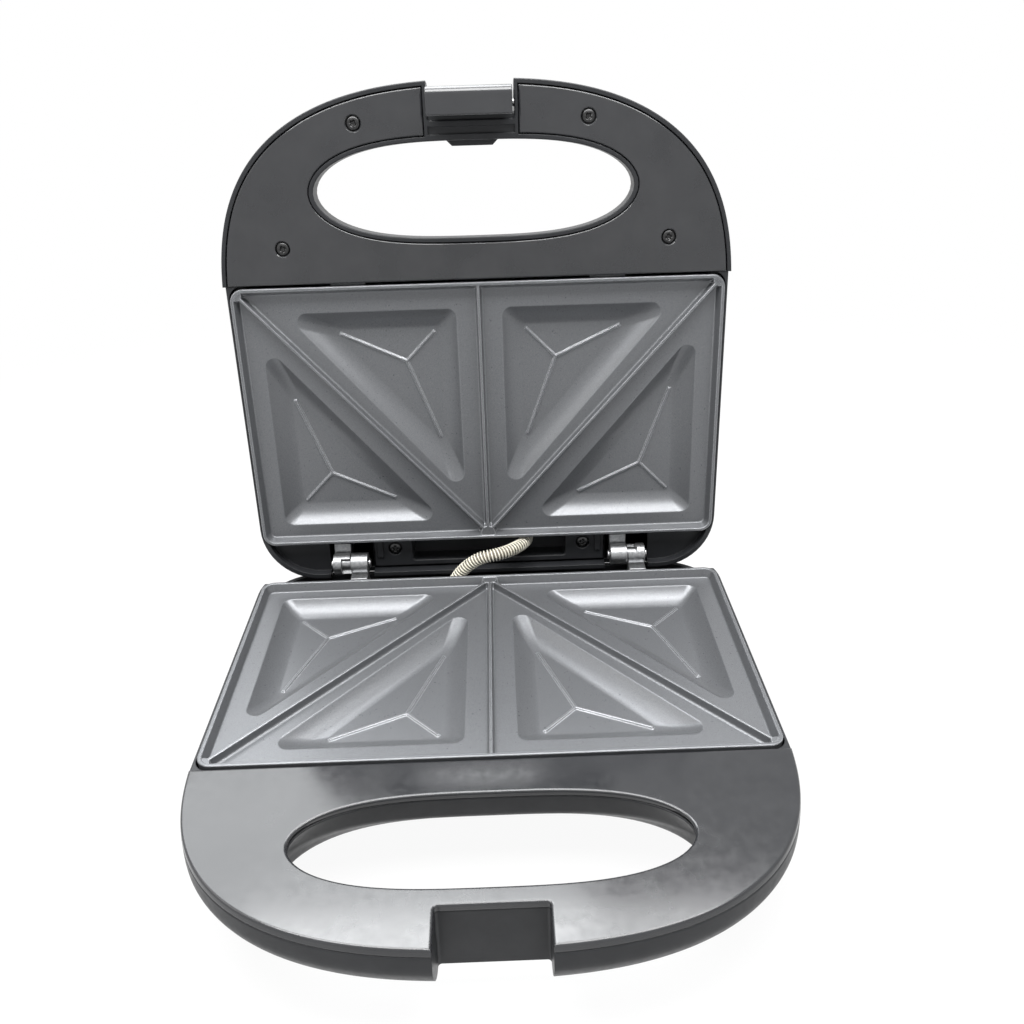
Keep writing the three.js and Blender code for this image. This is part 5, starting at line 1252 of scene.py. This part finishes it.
def fine_pieces():
    for half, label, plate_name in ((BASE, "base", "lower"), (LID, "lid", "upper")):
        finish_piece(handle_cover(half), half, f"{label}_handle_cover", COVER)
        finish_piece(rear_cover(half), half, f"{label}_rear_cover", REAR)
        finish_piece(cooking_plate(half), half, f"{plate_name}_plate", PLATE)
        for side, name in zip(SIDES, ("left", "right")):
            finish_piece(hinge_leaf(half, side), half, f"hinge_{name}_{label}_leaf", HINGE_METAL)
    for side, name in zip(SIDES, ("left", "right")):
        finish_piece(hinge_pin(side), BASE, f"hinge_{name}_pin", PIN_STEEL)
    for (x, y), name in zip(FOOT_PLACES, ("front_left", "front_right", "rear_left", "rear_right")):
        finish_piece(foot(x, y), BASE, f"foot_{name}", RUBBER)
    finish_piece(base_housing(), BASE, "base_housing", HOUSING)
    finish_piece(lid_housing(), LID, "lid_housing", HOUSING)
    finish_piece(latch_clip(), LID, "latch_clip", CLIP, "clip")
    finish_piece(latch_pin(), LID, "latch_pin", PIN_STEEL)
    finish_piece(lens(-1), LID, "power_lens", RED_LENS)
    finish_piece(lens(1), LID, "ready_lens", GREEN_LENS)


fine_pieces()

# Sprung conduit and the sleeved wires inside it


def conduit():
    route = conduit_route(CONDUIT_TAIL + CONDUIT_WIRE / 2)
    turns = math.floor(lengths(route)[-1] / CONDUIT_PITCH)
    places = np.linspace(0, len(route) - 1, turns * CURL_STEPS + 1)
    centre, first, second = (
        resampled(table, np.arange(len(route)), places) for table in (route, *carried_frames(route)))
    angles = 2 * np.pi * np.arange(len(places)) / CURL_STEPS
    wire = centre + CONDUIT_RADIUS * (np.cos(angles)[:, None] * first + np.sin(angles)[:, None] * second)
    spring = tube("conduit_spring_wound", wire, CONDUIT_WIRE / 2, CURL_SIDES, ENAMEL)
    inside = even_steps(conduit_route(SLEEVE_TAIL), SLEEVE_STEP)
    sleeve = tube("conduit_sleeve_woven", inside, SLEEVE_RADIUS, SLEEVE_SIDES, SLEEVE)
    for piece, node, finish in (
            (spring, "conduit_spring", "conduit_enamel"), (sleeve, "conduit_wires", "wire_sleeve")):
        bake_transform(piece)
        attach(piece, "base")
        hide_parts(node)


conduit()

# Cross-head screws in place of the plain ones

HEAD_RADIUS = 0.003
HEAD_HEIGHT = 0.0018
SHANK_RADIUS = 0.0015
CROSS_ARM = 0.00062
CROSS_REACH = 0.0017
CROSS_DEPTH = 0.0011
THREAD_PITCH = 0.0011
THREAD_DEPTH = 0.0003
THREAD_START = 0.001
THREAD_STEPS = 4
SCREW_SIDES = 48
HEAD_RINGS = 16
WIDE_SHARE = 0.8


def head_height(x, y):
    radius = math.hypot(x, y) / HEAD_RADIUS
    dome = HEAD_HEIGHT * (0.45 + 0.55 * math.sqrt(max(0, 1 - radius**2)))
    arm = min(max(abs(x), CROSS_ARM) if abs(y) < abs(x) else max(abs(y), CROSS_ARM), CROSS_REACH)
    across = min(abs(x), abs(y))
    wall = min(1, max(0, (CROSS_ARM - across) / (0.35 * CROSS_ARM)))
    end = min(1, max(0, (CROSS_REACH - max(abs(x), abs(y))) / (0.5 * CROSS_REACH)))
    return dome - CROSS_DEPTH * wall * end * (1.15 - 0.4 * arm / CROSS_REACH)


def ring_points(radius):
    angles = 2 * math.pi * np.arange(SCREW_SIDES) / SCREW_SIDES
    return [(radius * math.cos(angle), radius * math.sin(angle)) for angle in angles]


def screw_mesh(length, turn):
    """A domed head with a cross recess over a threaded shank, pointing along -Z from the seat."""
    vertices = [(0, 0, head_height(0, 0))]
    for ring in range(1, HEAD_RINGS + 1):
        vertices += [(x, y, head_height(x, y)) for x, y in ring_points(HEAD_RADIUS * ring / HEAD_RINGS)]
    profile = [(HEAD_RADIUS, 0), (SHANK_RADIUS, 0), (SHANK_RADIUS, -THREAD_START)]
    for step in range(math.floor((length - 2 * THREAD_START) / THREAD_PITCH * THREAD_STEPS)):
        depth = 0 if step % THREAD_STEPS < THREAD_STEPS / 2 else THREAD_DEPTH
        profile.append((SHANK_RADIUS - depth, -THREAD_START - THREAD_PITCH * (step + 1) / THREAD_STEPS))
    profile.append((SHANK_RADIUS * 0.3, -length))
    for radius, level in profile:
        vertices += [(x, y, level) for x, y in ring_points(radius)]
    rings = HEAD_RINGS + len(profile)
    faces = [(0, 1 + i, 1 + (i + 1) % SCREW_SIDES) for i in range(SCREW_SIDES)]
    faces += [tuple(1 + v for v in face) for face in ring_faces(rings, SCREW_SIDES)]
    faces.append(tuple(range(rings * SCREW_SIDES, (rings - 1) * SCREW_SIDES, -1)))
    turning = Matrix.Rotation(turn, 3, "Z")
    return [turning @ Vector(v) for v in vertices], faces


def detailed_screws():
    """Each screw stands exactly where its CAD node does; its head end is the wider one."""
    for order, name in enumerate(sorted(name for name in NODES if "_screw" in name)):
        points = np.array([v.co[:] for v in NODES[name].data.vertices])
        body = "lid" if name.startswith(("lid", "upper")) or "_lid_" in name else "base"
        axis = LID_NORMAL if body == "lid" else Vector((0, 0, 1))
        along, middle = points @ np.array(axis), points.mean(axis=0)
        low, high = along.min(), along.max()
        off_axis = np.linalg.norm(points - middle - np.outer(along - middle @ np.array(axis), axis), axis=1)
        head = off_axis > WIDE_SHARE * off_axis.max()
        outwards, top = (axis, high) if along[head].mean() > (low + high) / 2 else (-axis, -low)
        centre = Vector(points[head].mean(axis=0))
        seat = centre + outwards * (top - HEAD_HEIGHT - centre.dot(outwards))
        vertices, faces = screw_mesh(high - low - HEAD_HEIGHT, 0.6 + 1.3 * order)
        place = Matrix.Translation(seat) @ outwards.to_track_quat("Z", "Y").to_matrix().to_4x4()
        piece = mesh_piece(f"{name}_cross_head", [place @ v for v in vertices], faces, SCREW_STEEL)
        split_edges(piece, SCREW_SHARP_DEGREES)
        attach(piece, body)
        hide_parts(name)


detailed_screws()

# Studio: pale floor and surround, soft lamps

AMBIENT = 0.26
FLOOR_WHITE_NEAR = 0.94
FLOOR_WHITE_FAR = 1.0
FLOOR_NEAR, FLOOR_FAR = 0.22, 0.75
FLOOR_HALF_SIZE = 3.0
LAMP_TARGET = Vector((0, -0.06, 0.05))


def seen_share(tree):
    """1 for camera, glossy and transmission rays, 0 for those that light the object."""
    path = node(tree, "LightPath")
    reach = path.outputs["Is Camera Ray"]
    for label in ("Is Glossy Ray", "Is Transmission Ray"):
        reach = maths(tree, "Math", "MAXIMUM", reach, path.outputs[label])
    return reach


def mixed(tree, share, lit, seen, output):
    mix = node(tree, "MixShader")
    for source, socket in zip((share, lit.outputs[0], seen.outputs[0]), mix.inputs):
        tree.links.new(source, socket)
    tree.links.new(mix.outputs[0], tree.nodes[output].inputs["Surface"])


def studio_world():
    world = bpy.data.worlds.new("studio")
    bpy.context.scene.world = world
    world.use_nodes = True
    tree = world.node_tree
    lit = tree.nodes["Background"]
    fill(tree, lit.inputs, {"Color": (0.93, 0.96, 1, 1), "Strength": AMBIENT})
    seen = node(tree, "Background", Color=(1, 1, 1, 1), Strength=1)
    mixed(tree, seen_share(tree), lit, seen, "World Output")


def studio_floor():
    """White where it is bare, with the object's shadow kept near the object."""
    material = bpy.data.materials.new("studio_floor")
    size = FLOOR_HALF_SIZE
    corners = [(-size, -size, 0), (size, -size, 0), (size, size, 0), (-size, size, 0)]
    floor = mesh_piece("studio_floor", corners, [(0, 1, 2, 3)], material)
    material.use_nodes = True
    tree = material.node_tree
    lit = tree.nodes["Principled BSDF"]
    fill(tree, lit.inputs, {"Base Color": (0.9, 0.9, 0.9, 1), "Roughness": 0.9, "Specular IOR Level": 0})
    seen = node(tree, "Emission", Strength=1)
    length = maths(tree, "VectorMath", "LENGTH", node(tree, "TexCoord").outputs["Object"])
    fade = node(tree, "MapRange", Value=length, From_Min=FLOOR_NEAR, From_Max=FLOOR_FAR,
                To_Min=FLOOR_WHITE_NEAR, To_Max=FLOOR_WHITE_FAR)
    fade.interpolation_type = "SMOOTHSTEP"
    share = maths(tree, "Math", "MULTIPLY", seen_share(tree), fade.outputs["Result"])
    mixed(tree, share, lit, seen, "Material Output")
    floor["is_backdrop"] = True


def softbox(name, azimuth, elevation, distance, size, radiance, colour=(1, 1, 1)):
    """A soft lamp aimed at the object; azimuth 0 is behind it, and positive is to the right."""
    data = bpy.data.lights.new(name, "AREA")
    data.shape = "RECTANGLE"
    data.size, data.size_y = size
    data.energy = radiance * math.pi * size[0] * size[1]
    data.color = colour
    a, e = math.radians(azimuth), math.radians(elevation)
    away = Vector((math.sin(a) * math.cos(e), math.cos(a) * math.cos(e), math.sin(e)))
    lamp = bpy.data.objects.new(name, data)
    lamp.location = LAMP_TARGET + distance * away
    lamp.rotation_euler = away.to_track_quat("Z", "Y").to_euler()
    link(lamp)


studio_world()
studio_floor()
softbox("rear_left_softbox", -27, 50, 1.1, (0.85, 0.5), 5.0, (0.96, 0.985, 1))
softbox("high_softbox", 0, 65, 1.1, (0.8, 0.4), 9.0, (0.98, 0.99, 1))
softbox("overhead_softbox", 180, 83, 0.9, (1.3, 0.4), 13.0)
softbox("left_softbox", -95, 35, 1.2, (0.6, 0.5), 1.8, (1, 0.98, 0.95))

bpy.context.scene.view_settings.view_transform = "Standard"

corners = lambda bounds: [[float(v) for v in corner] for corner in bounds]
{"cad": corners(cad_box), "visual": corners(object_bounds())}
